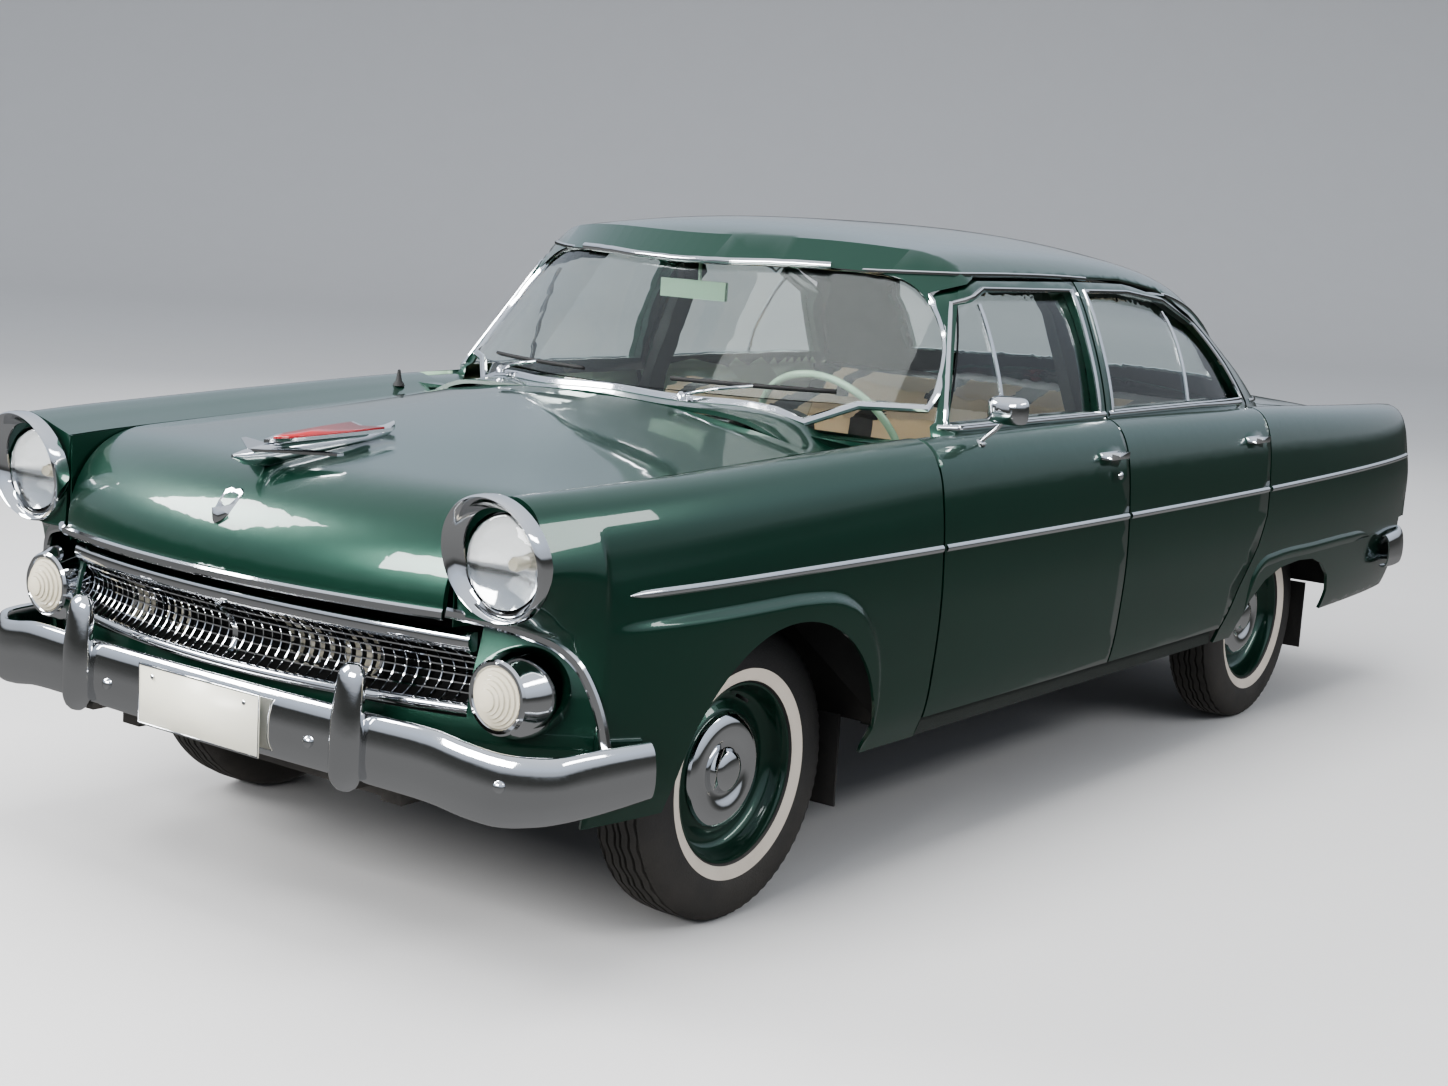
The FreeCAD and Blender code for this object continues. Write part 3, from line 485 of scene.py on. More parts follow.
# The piece on the left and its twin on the right, each riding on its own side's node
def placedPair(piece, name, material, node):
    nodes = (node + "_l", node + "_r") if node + "_l" in frame["nodes"] else (node, node)
    twin = mirroredCopy(finished(piece, material), name + "_r")
    settle(piece, nodes[0])
    settle(twin, nodes[1])


# A merged copy of a CAD node in its finish
def dressed(node, *materials, pick=None):
    mesh = frame["nodes"][node].data.copy()
    mesh.name = node + "-skin"
    piece = makeObject(node + "-skin", mesh)
    shape = bmesh.new()
    shape.from_mesh(mesh)
    bmesh.ops.remove_doubles(shape, verts=shape.verts, dist=2e-6)
    shape.to_mesh(mesh)
    shape.free()
    finished(piece, *materials, pick=pick)
    return settle(sharpen(piece), node, True)


# Front fenders and hood

halfWidth = 952
fenderReach = 262
doorGap = -1030
frontAxle = -1641
archRadius = 372
lampFace = -2388
lampCentre = (752, lampFace, 890)
lampHole = 107
wheelHeight = 345
fenderSheet = 8
fenderWall = {"back": -2080, "below": 40, "foot": 745, "sheet": 4}
widest = smoothLine((-2400, halfWidth - 70), (-2250, halfWidth - 47), (-1950, halfWidth - 20),
                    (-1641, halfWidth - 11), (-1021, halfWidth - 2), (0, halfWidth), (950, halfWidth - 1))
crest = smoothLine((-2400, 1030), (-2250, 1036), (-1950, 1046), (-1641, 1058), (-1021, 1078), (0, 1082))
packedCrest = smoothLine((-2400, 1000), (-2250, 1022), (-1950, 1042), (-1641, 1056), (-1021, 1078), (0, 1082))
hoodCentre = smoothLine((-2493, 984), (-2233, 1012), (-1950, 1046), (-1641, 1078), (-1290, 1114),
                        (-1200, 1122))
noseStart = -2236
noseEdge = smoothLine((-2403, 620), (-2350, 690), (-2318, 760), (-2290, 820), (-2270, 860), (-2255, 885),
                      (-2243, 900), (-2236, 912))
noseFoot = smoothLine((-2403, 779), (-2350, 763), (-2318, 748), (-2290, 728), (-2270, 693), (-2255, 645),
                      (-2243, 589), (-2236, 528))
noseShares = ((0, 0, 0), (0.35, 0.13, 0), (0.63, 0.3, 0.1), (0.82, 0.5, 0.35), (0.93, 0.74, 0.68),
              (0.98, 1, 1))
sectionSteps = (4, 9, 12, 22, 10, 7, 5, 5, 4, 4, 4)
fenderFoot = 345
lipHalf = 610


# How far the front has bowed back at a place across the car, 1 at the end of the hood's lip
def bow(x):
    return (x / lipHalf) ** 2


# The side of the left fender from its foot, or from its open nose, up over the crest
def flankSection(y):
    w, c, s = widest(y), crest(y), fenderFoot
    upper = [(w - 32, c - 66), (w - 60, c - 20), (w - 102, c), (w - 155, c - 8), (w - 212, c - 24),
             (w - fenderReach, c - 38)]
    if y >= noseStart:
        return [(w - 50, s), (w - 28, s + 60), (w - 9, s + 190), (w, 680), (w - 2, 790),
                (w - 12, c - 160)] + upper
    edge, foot = noseEdge(y), noseFoot(y)
    fullness = min(1, (w - edge) / 160)
    return [(edge + (w - edge) * share, foot + (c - 160 - foot) * (steep + (full - steep) * fullness))
            for share, steep, full in noseShares] + upper


flare = {"depth": 15, "ledge": 22, "top": 778,
         "grows": smoothLine((-2300, 0), (noseStart, 0), (-2120, 0.5), (-1950, 0.93), (-1800, 1), (-1200, 1)),
         "line": [(-1272, 345), (-1260, 390), (-1253, 433), (-1254, 475), (-1260, 518), (-1270, 562),
                  (-1286, 606), (-1312, 652), (-1346, 695), (-1375, 720), (-1409, 740), (-1450, 757),
                  (-1497, 768), (-1560, 774), (-1640, 778), (-2236, 778)]}


# How far the flank stands out round the wheel at a place of its side
def flareAt(y, z):
    line = flare["line"]
    backLine = np.interp(z, [p[1] for p in line[:-1]], [p[0] for p in line[:-1]])
    if y > backLine or z > flare["top"] or y < noseStart:
        return 0.0
    nearest = 1e9
    for (ya, za), (yb, zb) in zip(line, line[1:]):
        dy, dz = yb - ya, zb - za
        t = min(1.0, max(0.0, ((y - ya) * dy + (z - za) * dz) / (dy * dy + dz * dz)))
        nearest = min(nearest, math.hypot(y - ya - t * dy, z - za - t * dz))
    u = min(1.0, nearest / flare["ledge"])
    return flare["depth"] * flare["grows"](y) * u * u * (3 - 2 * u)


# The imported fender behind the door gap
def fenderBack():
    mesh = frame["nodes"]["front_fender_l"].data.copy()
    shape = bmesh.new()
    shape.from_mesh(mesh)
    bmesh.ops.remove_doubles(shape, verts=shape.verts, dist=2e-6)
    bmesh.ops.bisect_plane(shape, geom=shape.verts[:] + shape.edges[:] + shape.faces[:], dist=1e-6,
                           plane_co=(0, doorGap * mm, 0), plane_no=(0, 1, 0), clear_inner=True)
    shape.to_mesh(mesh)
    shape.free()
    return makeObject("fenderBack", mesh)


# The front fenders with their nose, the flare round the wheel and the round lamp hole
def buildFenders():
    stations = [*np.linspace(lampFace, -2246, 19), noseStart, *np.linspace(-2224, -1432, 58),
                *np.linspace(-1424, -1236, 30), *np.linspace(-1222, doorGap, 14)]
    rows = [[(x + flareAt(y, z), y, z) for x, z in densify(flankSection(y), sectionSteps)] for y in stations]
    skin = thickened(gridMesh("skin", rows), fenderSheet)
    cutBy(skin, plug(archRadius, (800, frontAxle, wheelHeight), 96, "X"))
    wallRows = []
    for y in np.linspace(lampFace + 4, fenderWall["back"], 12):
        inside = widest(y) - fenderReach - 1
        wallRows.append([(inside, y, crest(y) - fenderWall["below"]), (inside, y, fenderWall["foot"])])
    wall = thickened(gridMesh("wall", wallRows), fenderWall["sheet"])
    face = [(x - 3, z - 2) for x, z in densify(flankSection(lampFace), sectionSteps)]
    cap = prismOf("cap", face, "Y", lampFace + 0.5, lampFace + fenderSheet)
    cutBy(cap, plug(lampHole, lampCentre, 64, "Y"))
    left = finished(joined("front_fender_l-skin", [skin, cap, wall, fenderBack()]), "paint")
    right = mirroredCopy(left, "front_fender_r-skin")
    settle(sharpen(left, 40), "front_fender_l", True)
    settle(sharpen(right, 40), "front_fender_r", True)
    return left


hoodEdge = {"power": 2.2, "drop": 38, "foot": 778, "sag": 6}


# The hood's edges brought up to the fenders beside them
def liftHoodEdges(piece):
    for vertex in piece.data.vertices:
        x, y, z = vertex.co / mm
        share = min(1.0, abs(x) / (widest(y) - fenderReach)) ** hoodEdge["power"]
        packed = hoodCentre(y) - (hoodCentre(y) - packedCrest(y) + hoodEdge["drop"]) * share
        low = hoodEdge["foot"] - hoodEdge["sag"] * bow(x)
        fullness = min(1.0, max(0.0, (z - low) / (packed - low)))
        vertex.co.z += (crest(y) - packedCrest(y)) * share * fullness * mm
    piece.data.update()


# Front end: valance, grille, lamps, bumper and guards

mouth = {"half": 640, "floor": 557.7, "top": 772}
valance = {"foot": 470, "half": 884, "sheet": 8,
           "bend": ((470, 520, 570, 640, 700, 772), (15, -5, 0, 10, 30, 46)),
           "plan": smoothLine((-880, -2215), (-700, -2330), (-450, -2400), (0, -2415), (450, -2400),
                              (700, -2330), (880, -2215))}


lipFront = -2458
lipSweep = 93


# The front line of the hood's lip across the car
def lipLine(x):
    return lipFront + lipSweep * bow(x)


def valanceSheet(across, heights):
    bends = np.interp(heights, *valance["bend"])
    rows = [[(x, valance["plan"](x) + bend, z) for z, bend in zip(heights, bends)] for x in across]
    return gridMesh("sheet", rows)


# The painted panel round the grille
def buildValance():
    upper = np.linspace(mouth["floor"], mouth["top"], 9)
    pieces = [valanceSheet(np.linspace(-valance["half"], valance["half"], 61),
                           np.linspace(valance["foot"], mouth["floor"], 6))]
    for side in (-1, 1):
        pieces.append(valanceSheet(np.linspace(side * mouth["half"], side * valance["half"], 12), upper))
    piece = sharpen(thickened(joined("grille_surround-skin", pieces), valance["sheet"]), 40)
    placed(piece, "paint", "grille_surround", True)


grille = {"hollow": 46, "spacing": 27.3, "count": 47, "width": 3.4, "depth": 12,
          "rows": (0.14, 0.28, 0.42, 0.56, 0.7, 0.84),
          # Of each bar: how far behind the lip, its height, how that changes outwards, and its outline
          "middles": {"upper": (12, 722, -10), "lower": (13, 570, 2)}, "insets": (18, 11),
          # The sheet of painted shade behind the mesh: its half width, how far behind the lip and its heights
          "paintedShade": {"half": 660, "behind": 150, "heights": (470, 790)}, "dividerHalf": 9,
          "upper": [(14, -18), (0, -20), (-10, -12), (-13, 0), (-10, 13), (2, 21), (14, 20)],
          "lower": [(14, -10), (2, -12), (-10, -8), (-12, 0), (-8, 9), (2, 12), (14, 10)],
          "divider": [(-2465, 704), (-2452, 690), (-2421, 660), (-2412, 640), (-2412, 620), (-2420, 598),
                      (-2448, 580), (-2410, 580), (-2400, 600), (-2392, 640), (-2402, 672), (-2425, 704)],
          "lampsAt": (300, -2318, 632), "lampBody": [(0, 40), (57, 40), (60, 2), (57, -4), (52, 0)],
          "lampFront": [(53, 0), (45, -12), (30, -20), (0, -24)]}


# The middle of a bar at a place across the car
def barPlace(bar, x):
    behind, height, rise = grille["middles"][bar]
    return lipLine(x) + behind, height + rise * bow(x)


# A place of the hollow mesh, at a share of the way from the upper bar down to the lower one
def meshPlace(x, share):
    high, low = barPlace("upper", x)[1] - grille["insets"][0], barPlace("lower", x)[1] + grille["insets"][1]
    hollow = 6 + grille["hollow"] * max(0.0, math.sin(math.pi * share)) ** 0.8
    return lipLine(x) + hollow, high + (low - high) * share


# The hollow egg-crate mesh between its two bars, with the divider and the two lamps
def buildGrille():
    reach = mouth["half"]
    half = grille["width"] / 2
    pieces = []
    for bar in ("upper", "lower"):
        rows = []
        for x in np.linspace(1 - reach, reach - 1, 49):
            along, height = barPlace(bar, x)
            rows.append([(x, along + a, height + b) for a, b in densify(grille[bar], (3,) * 6)])
        pieces.append(sharpen(gridMesh("bar", rows, wrap=True, caps=True), 50))
    for i in range(grille["count"]):
        x = (i - grille["count"] // 2) * grille["spacing"]
        front = [meshPlace(x, k / 16) for k in range(17)]
        outline = front + [(y + grille["depth"], z) for y, z in reversed(front)]
        pieces.append(sharpen(prismOf("rib", outline, "X", x - half, x + half), 30))
    for share in grille["rows"]:
        rows = []
        for x in np.linspace(3 - reach, reach - 3, 61):
            y, z = meshPlace(x, share)
            back = y + grille["depth"] - 1
            rows.append([(x, y, z - half), (x, y, z + half), (x, back, z + half), (x, back, z - half)])
        pieces.append(sharpen(gridMesh("row", rows, wrap=True, caps=True), 30))
    wide = grille["dividerHalf"]
    pieces.append(sharpen(prismOf("divider", grille["divider"], "X", -wide, wide), 30))
    placed(joined("grille-mesh", pieces), "chrome", "grille", True)
    # A matt black sheet behind the grille mesh, painted shade standing for the dark inside of the nose
    paintedShade = grille["paintedShade"]
    shadeRows = [[(x, lipLine(x) + paintedShade["behind"], z) for z in paintedShade["heights"]]
                 for x in np.linspace(-paintedShade["half"], paintedShade["half"], 25)]
    placed(thickened(gridMesh("grille_painted_shade", shadeRows), 2), "paintedShade", "grille")
    roundLamps = []
    across, along, height = grille["lampsAt"]
    for x in (-across, across):
        for part, material in (("lampBody", "chrome"), ("lampFront", "creamLens")):
            roundLamps.append(finished(sharpen(lathe(part, grille[part], (x, along, height), 40)), material))
    settle(joined("grille_lamps", roundLamps), "grille")


bumpers = {
    "front_bumper": {
        "side": -1,
        "line": [(0, -2501), (175, -2499), (350, -2495), (510, -2488), (650, -2479), (740, -2467),
                 (815, -2449), (880, -2412), (922, -2371), (940, -2300), (948, -2221), (953, -2120)],
        "top": [554, 554, 554, 554, 553, 539, 530, 528, 530, 532, 530, 525],
        "low": [406, 406, 406, 405, 400, 386, 380, 386, 394, 397, 399, 403]},
    "rear_bumper": {
        "side": 1,
        "line": [(0, 2511), (200, 2509), (350, 2506), (510, 2500), (650, 2490), (760, 2474), (840, 2448),
                 (895, 2405), (928, 2350), (944, 2280), (950, 2210), (954, 2130)],
        "top": [578, 578, 578, 578, 578, 578, 576, 574, 572, 570, 568, 564],
        "low": [432, 432, 432, 432, 432, 432, 434, 436, 438, 440, 442, 446]},
}
bumperForm = {"bulge": 20, "sheet": 5, "boltsAt": (-820, -330, 330, 820), "boltHeight": 468, "boltRadius": 13}


# Rows of points of a bowed bumper with rolled edges
def bumperRows(shape):
    plan = np.array(shape["line"], float)
    reach = np.concatenate(([0.0], np.cumsum(np.linalg.norm(np.diff(plan, axis=0), axis=1))))
    knots = (plan[:, 0], plan[:, 1], shape["top"], shape["low"])
    lines = [smoothLine(*zip(reach, values)) for values in knots]
    half = [tuple(line(s) for line in lines) for s in np.linspace(0, reach[-1], 80)]
    places = [(-x, y, t, b) for x, y, t, b in reversed(half[1:])] + half
    bulge = bumperForm["bulge"]
    rows = []
    for n, (x, y, high, floor) in enumerate(places):
        before, after = places[max(n - 1, 0)], places[min(n + 1, len(places) - 1)]
        along = Vector((after[0] - before[0], after[1] - before[1], 0)).normalized()
        out = Vector((along.y, -along.x, 0)) * -shape["side"]
        rise = high - floor
        outer = [(-bulge - 14, floor + 5), (-bulge, floor), (-bulge * 0.42, floor + 7),
                 (-bulge * 0.1, floor + 26), (0, floor + rise * 0.45), (-bulge * 0.12, floor + rise * 0.7),
                 (-bulge * 0.45, floor + rise * 0.9), (-bulge, high), (-bulge - 12, high - 3)]
        rows.append([(x + out.x * a, y + out.y * a, b) for a, b in densify(outer, (2, 3, 3, 5, 5, 4, 3, 2))])
    return rows


# Both bumpers with their bolts
def buildBumpers():
    for name, shape in bumpers.items():
        pieces = [sharpen(thickened(gridMesh("sheet", bumperRows(shape)), bumperForm["sheet"]), 45)]
        tree = treeOf(pieces[0])
        for x in bumperForm["boltsAt"]:
            start = Vector((x, shape["side"] * 3000, bumperForm["boltHeight"])) * mm
            spot, normal = tree.ray_cast(start, Vector((0, -shape["side"], 0)))[:2]
            pieces.append(domeBolt("bolt", spot / mm, normal, bumperForm["boltRadius"]))
        placed(joined(name + "-shell", pieces), "chrome", name, True)


guard = {"across": 440, "heights": (389, 398, 420, 470, 530, 580, 615, 640, 653),
         "width": (34, 62, 82, 88, 86, 78, 72, 62, 34), "depth": (18, 36, 50, 56, 54, 48, 46, 38, 18),
         "place": (-2497, -2496, -2495, -2493, -2492, -2489, -2485, -2482, -2479),
         "rings": (389, 392, 398, 408, 420, 440, 470, 500, 530, 555, 580, 598, 615, 629, 640, 648, 653)}


# The upright guards of the front bumper
def buildGuards():
    width, depth, place = (smoothLine(*zip(guard["heights"], guard[key]))
                           for key in ("width", "depth", "place"))
    rows = [[(guard["across"] + width(z) / 2 * c, place(z) + depth(z) / 2 * s, z)
             for c, s in ringProfile(1, 32)] for z in guard["rings"]]
    piece = sharpen(gridMesh("guard", rows, wrap=True, caps=True), 50)
    placed(bothSides("bumper_guards-pair", piece), "chrome", "bumper_guards", True)


headlamp = {"centre": lampCentre, "rimHeight": 905, "lean": 0.19,
            "rim": [(102, 0), (131, 0), (132, -16), (131.5, -30), (130, -38), (127, -42), (122, -38),
                    (115, -22), (107, -10), (102, -5)],
            "lens": [(0, -14), (40, -13), (70, -9), (96, 0), (103, 6), (100, 9), (68, -3), (0, -8)],
            "bowl": [(103, 9), (95, 20), (74, 42), (44, 60), (14, 66), (0, 67), (0, 70), (106, 12)],
            "bulb": [(0, 30), (12, 32), (16, 40), (14, 62), (0, 64)]}


# Headlamp rims with their hood leaning forwards, bowls and lenses
def buildHeadlamps():
    x, y, z = headlamp["centre"]
    middle = headlamp["rimHeight"]
    rim = lathe("rim", headlamp["rim"], (x, y, middle), 96, closedLine=True)
    for vertex in rim.data.vertices:
        vertex.co.y = min(vertex.co.y - headlamp["lean"] * (vertex.co.z - middle * mm), y * mm)
    placed(bothSides("headlamp_rims-pair", sharpen(outward(rim), 40)), "chrome", "headlamp_rims", True)
    lens = sharpen(lathe("lens", headlamp["lens"], (x, y, z), 64), 50)
    placed(bothSides("headlamp_lenses-pair", lens), "lampGlass", "headlamp_lenses", True)
    bowl = finished(sharpen(lathe("bowl", headlamp["bowl"], (x, y, z), 64), 50), "chrome")
    bulb = finished(sharpen(lathe("bulb", headlamp["bulb"], (x, y, z), 24)), "creamLens")
    settle(bothSides("headlamp_bowls", joined("bowlSide", [bowl, bulb])), "headlamp_rims")


pod = {"centre": (733, -2364, 618), "screwRing": 69.5, "screwFace": -2372.2,
       "body": [(0, 12), (62, 12), (62, -4), (66, -8), (73, -8), (78, -3), (80, 6), (88, 24), (94, 48),
                (96, 78), (94, 104), (88, 126), (78, 142), (64, 150), (0, 150)],
       "lens": [(0, 11), (61.7, 11), (61.7, -6), (56, -8), (55, -13), (48, -15), (47, -20), (40, -22),
                (39, -27), (32, -29), (31, -33), (24, -35), (23, -39), (14, -42), (0, -44)]}


# The parking lamps' pods with their screws and ribbed lenses
def buildPods():
    x, y, z = pod["centre"]
    ring = pod["screwRing"]
    pieces = [sharpen(lathe("pod", pod["body"], (x, y, z), 72), 30)]
    for turn in (math.radians(degrees) for degrees in (90, 210, 330)):
        spot = (x + ring * math.cos(turn), pod["screwFace"], z + ring * math.sin(turn))
        pieces.append(domeBolt("screw", spot, (0, -1, 0), 4))
    placed(bothSides("parking_pods-pair", joined("podSide", pieces)), "chrome", "parking_pods", True)
    lens = sharpen(lathe("podLens", pod["lens"], (x, y, z), 72), 20)
    placed(bothSides("parking_lenses-pair", lens), "creamLens", "parking_lenses", True)


# Wheels and tyres

tyre = {"sides": 144, "zig": 3.0, "zigBeyond": 335, "treadHalf": 56, "white": (214, 244),
        "sipe": 3.5, "sipeBetween": (320, 340), "wallFrom": 60,
        "tread": [(0, 345), (4, 345), (5.5, 338), (9.5, 338), (11, 344.8), (27, 344.4), (28.5, 337.5),
                  (32.5, 337.5), (34, 343.6), (50, 342), (52, 336), (55, 336), (57, 341)],
        "wall": [(66, 337), (74, 328), (80, 312), (84, 292), (86, 270), (84.5, 250), (82.5, 244), (80.5, 236),
                 (77, 224), (73, 214), (68, 209), (60, 206)]}


# The middle of a wheel or tyre in millimetres, and the side of the car that it is on
def wheelPlace(node):
    low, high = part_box(node)
    centre = (low + high) / 2 / mm
    return centre, 1 if centre.x > 0 else -1


# A tyre with zig-zag grooves, sipes on its shoulders and a white band on its outer wall
def buildTyre(node):
    centre, out = wheelPlace(node)
    half = tyre["tread"] + tyre["wall"]
    outline = [(-a, r) for a, r in reversed(half[1:])] + half
    low, high = tyre["sipeBetween"]
    rows = []
    for i, (c, s) in enumerate(ringProfile(1, tyre["sides"])):
        zig = tyre["zig"] * (1 - abs(i % 4 - 2))
        row = []
        for a, r in outline:
            shift = zig if r > tyre["zigBeyond"] and abs(a) < tyre["treadHalf"] else 0
            deep = tyre["sipe"] if i % 2 and low < r < high and abs(a) > tyre["wallFrom"] else 0
            row.append((centre.x + out * (a + shift), centre.y + (r - deep) * c, centre.z + (r - deep) * s))
        rows.append(row)

    def whiteBand(c, n):
        radius = math.hypot(c.y / mm - centre.y, c.z / mm - centre.z)
        outside = (c.x / mm - centre.x) * out > tyre["wallFrom"]
        return 1 if outside and tyre["white"][0] < radius < tyre["white"][1] else 0

    piece = finished(gridMesh(node + "-tread", rows, closed=True), "rubber", "whitewall", pick=whiteBand)
    settle(sharpen(piece, 38), node, True)


wheel = {"rim": [(212, 64), (208, 68), (203, 67), (199, 60), (196, 46), (192, 30), (186, 20), (176, 14),
                 (163, 12), (152, 16), (144, 23), (136, 26), (120, 26), (90, 20), (90, -30), (150, -40),
                 (186, -50), (200, -62), (212, -66)],
         "cap": [(134, 24), (134, 31), (130, 37), (120, 43), (104, 47), (88, 46), (74, 41), (62, 36),
                 (54, 36), (49, 42), (46, 50), (38, 55), (26, 58), (12, 60), (0, 60)],
         "valve": ((22, 50, 165), (55, 46, 158))}


# A painted steel wheel with its stepped rim, chrome cap and valve
def buildWheel(node):
    centre, out = wheelPlace(node)
    body = lathe("body", [(r, out * a) for r, a in wheel["rim"]], centre, 96, "X", closedLine=True)
    cap = lathe("cap", [(r, out * a) for r, a in wheel["cap"]], centre, 96, "X")
    stem = [centre + Vector((out * x, y, z)) for x, y, z in wheel["valve"]]
    valve = sweep("valve", stem, ringProfile(4, 10))
    pieces = [finished(sharpen(body, 40), "paint"), finished(sharpen(cap, 25), "chrome"),
              finished(valve, "rubber")]
    settle(joined(node + "-disc", pieces), node, True)


# Trims, glass edges and small pieces

halfRound = [(-9, -2), (-9, 2), (-5, 6), (0, 7.5), (5, 6), (9, 2), (9, -2)]
slimTrim = [(-6, -3), (-6, 3), (-3, 6.5), (3, 6.5), (6, 3), (6, -3)]
wideTrim = [(-11, -3), (-11, 4), (-6, 9), (6, 9), (11, 4), (11, -3)]
softRidge = [(-20, -4), (-20, 0.5), (-10, 5), (0, 8), (10, 5), (20, 0.5), (20, -4)]


# A closed window outline, moved outwards from its middle and cut into short steps
def windowLine(outline, margin=10.4, step=30):
    cy = sum(p[0] for p in outline) / len(outline)
    cz = sum(p[1] for p in outline) / len(outline)
    edge = []
    for y, z in outline:
        reach = math.hypot(y - cy, z - cz)
        edge.append((y + (y - cy) / reach * margin, z + (z - cz) / reach * margin))
    line = []
    for (ya, za), (yb, zb) in zip(edge, edge[1:] + edge[:1]):
        count = max(1, int(math.hypot(yb - ya, zb - za) / step))
        line += [(ya + (yb - ya) * i / count, za + (zb - za) * i / count) for i in range(count)]
    return line


# A trim laid on a side panel through places (along, up), with its twin on the other side
def sideTrim(name, node, places, profile, material="chrome", closedLine=False, tree=None, scale=None):
    tree = tree or treeOf(frame["nodes"][node + "_l" if node + "_l" in frame["nodes"] else node])
    spots = [hitPoint(tree, (1300, y, z), (-1, 0, 0)) for y, z in places]
    line = [(spot.x, y, z) for spot, (y, z) in zip(spots, places) if spot]
    piece = sharpen(sweep(name + "_l", line, profile, (1, 0, 0), closedLine, scale), 35)
    placedPair(piece, name, material, node)


stripHeight = smoothLine((-2170, 831), (-1900, 829), (-1000, 822), (0, 818), (950, 820), (2400, 833))
railHeight = smoothLine((-900, 1458), (-580, 1468), (0, 1462), (400, 1437), (800, 1378), (1050, 1277),
                        (1200, 1180))
# Of each: its panel, its height along the car, where it starts and ends, its places, and its profile
sideRuns = {
    "front_door_strip": ("front_door", stripHeight, (-1016, -35, 32), halfRound),
    "rear_door_strip": ("rear_door", stripHeight, (-17, 958, 32), halfRound),
    "quarter_strip": ("rear_quarter", stripHeight, (982, 2405, 32), halfRound),
    "front_belt": ("front_door", lambda y: 1093, (-880, -36, 24), halfRound),
    "rear_belt": ("rear_door", lambda y: 1093 - max(0, y - 600) * 0.02, (-16, 925, 24), halfRound),
    "roof_belt": ("roof", lambda y: 1086 - (y - 960) * 0.03, (965, 1230, 10), halfRound),
    "drip_rail": ("roof", railHeight, (-1060, 1215, 76), slimTrim),
    "vent_bar": ("front_door_glass", smoothLine((-568, 1104), (-566, 1392)), (-568, -566, 10), slimTrim),
    "rear_bar": ("rear_door_glass", smoothLine((554, 1104), (573, 1366)), (554, 573, 9), slimTrim),
}
windowFrames = {
    "front_window_frame": ("front_door", [(-852, 1102), (-74, 1102), (-74, 1424), (-552, 1424),
                                          (-672, 1390)]),
    "rear_window_frame": ("rear_door", [(23, 1102), (930, 1102), (850, 1205), (730, 1322), (545, 1390),
                                        (300, 1418), (23, 1424)]),
}
archCrease = [(903, 430), (910, 500), (935, 552), (985, 582), (1060, 590), (1400, 592), (1750, 591),
              (1900, 586), (1985, 574)]
noseMoulding = [(620, -2405, 779), (690, -2352, 763), (760, -2320, 748), (820, -2292, 728), (860, -2272, 693),
                (885, -2257, 645), (902, -2245, 589), (914, -2238, 528)]
lipTrim = {"ahead": 39, "height": 776, "drop": 4}


# Side strips, belt mouldings, window frames, drip rails, the rear arch's crease and the nose's edge
def buildSideTrims(fender):
    tip = {-2178: 0.12, -2165: 0.4, -2145: 0.75, -2120: 0.95}
    along = [*tip, *np.linspace(-2090, -1034, 36)]
    sideTrim("fender_strip", "front_fender", [(y, stripHeight(y)) for y in along], halfRound,
             tree=treeOf(fender), scale=[tip.get(y, 1.0) for y in along])
    for name, (node, height, run, profile) in sideRuns.items():
        sideTrim(name, node, [(y, height(y)) for y in np.linspace(*run)], profile)
    for name, (node, outline) in windowFrames.items():
        sideTrim(name, node, windowLine(outline), slimTrim, closedLine=True)
    crease = [tuple(p) for p in densify(archCrease, (5,) * 8)]
    fade = [min(1.0, 0.1 + 0.12 * min(i, len(crease) - 1 - i)) for i in range(len(crease))]
    sideTrim("arch_crease", "rear_quarter", crease, softRidge, "paint", scale=fade)
    edge = sweep("nose_edge_l", densify(noseMoulding, (4,) * 7), wideTrim, (0.5, -1, 0))
    placedPair(sharpen(edge, 35), "nose_edge", "chrome", "front_fender")
    lip = [(x, lipLine(x) - lipTrim["ahead"], lipTrim["height"] - lipTrim["drop"] * bow(x))
           for x in np.linspace(-lipHalf - 2, lipHalf + 2, 41)]
    placed(sharpen(sweep("hood_lip_trim", lip, wideTrim, (0, -1, 0)), 35), "chrome", "hood")


# The edge of a curved glass, found by rays along the car from the front or from behind
def glassLoop(node, side, height=1300, reachMost=1300, count=150):
    tree = treeOf(frame["nodes"][node])
    loop = []
    for c, s in ringProfile(1, count):
        near, far, spot = 0.0, reachMost, None
        for _ in range(16):
            reach = (near + far) / 2
            hit = hitPoint(tree, (reach * c, side * 3500, height + reach * s), (0, -side, 0))
            if hit:
                near, spot = reach, hit
            else:
                far = reach
        if spot:
            loop.append(spot)
    return loop


windshieldFoot = {"below": 1240, "start": Vector((0, 4, 0)), "down": (0, -0.55, -0.835), "reach": 240,
                  "thick": 4, "trimLift": Vector((0, -2, 4))}


# Chrome round the windshield and the rear window, and the foot of the windshield down to the cowl
def buildGlassTrims():
    trees = [treeOf(frame["nodes"][node]) for node in ("cowl", "front_fender_l", "front_fender_r")]
    rows, low = [], []
    for spot in glassLoop("windshield", -1):
        landings = []
        if spot.z < windshieldFoot["below"]:
            path = spot + windshieldFoot["start"], windshieldFoot["down"], windshieldFoot["reach"]
            landings = [hitPoint(tree, *path) for tree in trees]
        landings = [landing for landing in landings if landing]
        if landings:
            landing = min(landings, key=lambda p: (p - spot).length)
            rows.append([spot, landing])
            low.append(landing + windshieldFoot["trimLift"])
        else:
            low.append(spot)
    foot = thickened(gridMesh("windshield_foot", rows), windshieldFoot["thick"])
    placed(sharpen(foot), "glass", "windshield")
    for name, line, side in (("windshield", low, -1), ("rear_window", glassLoop("rear_window", 1), 1)):
        trim = sweep(name + "_trim", line, wideTrim, (0, side, 0.35), closedLine=True)
        placed(sharpen(trim, 35), "chrome", name)


# The search's values are lowestHit's floor, step and limit, here and for the wipers
brow = {"half": 690, "search": (1400, 1.5, -800), "lift": Vector((0, -1, 6))}


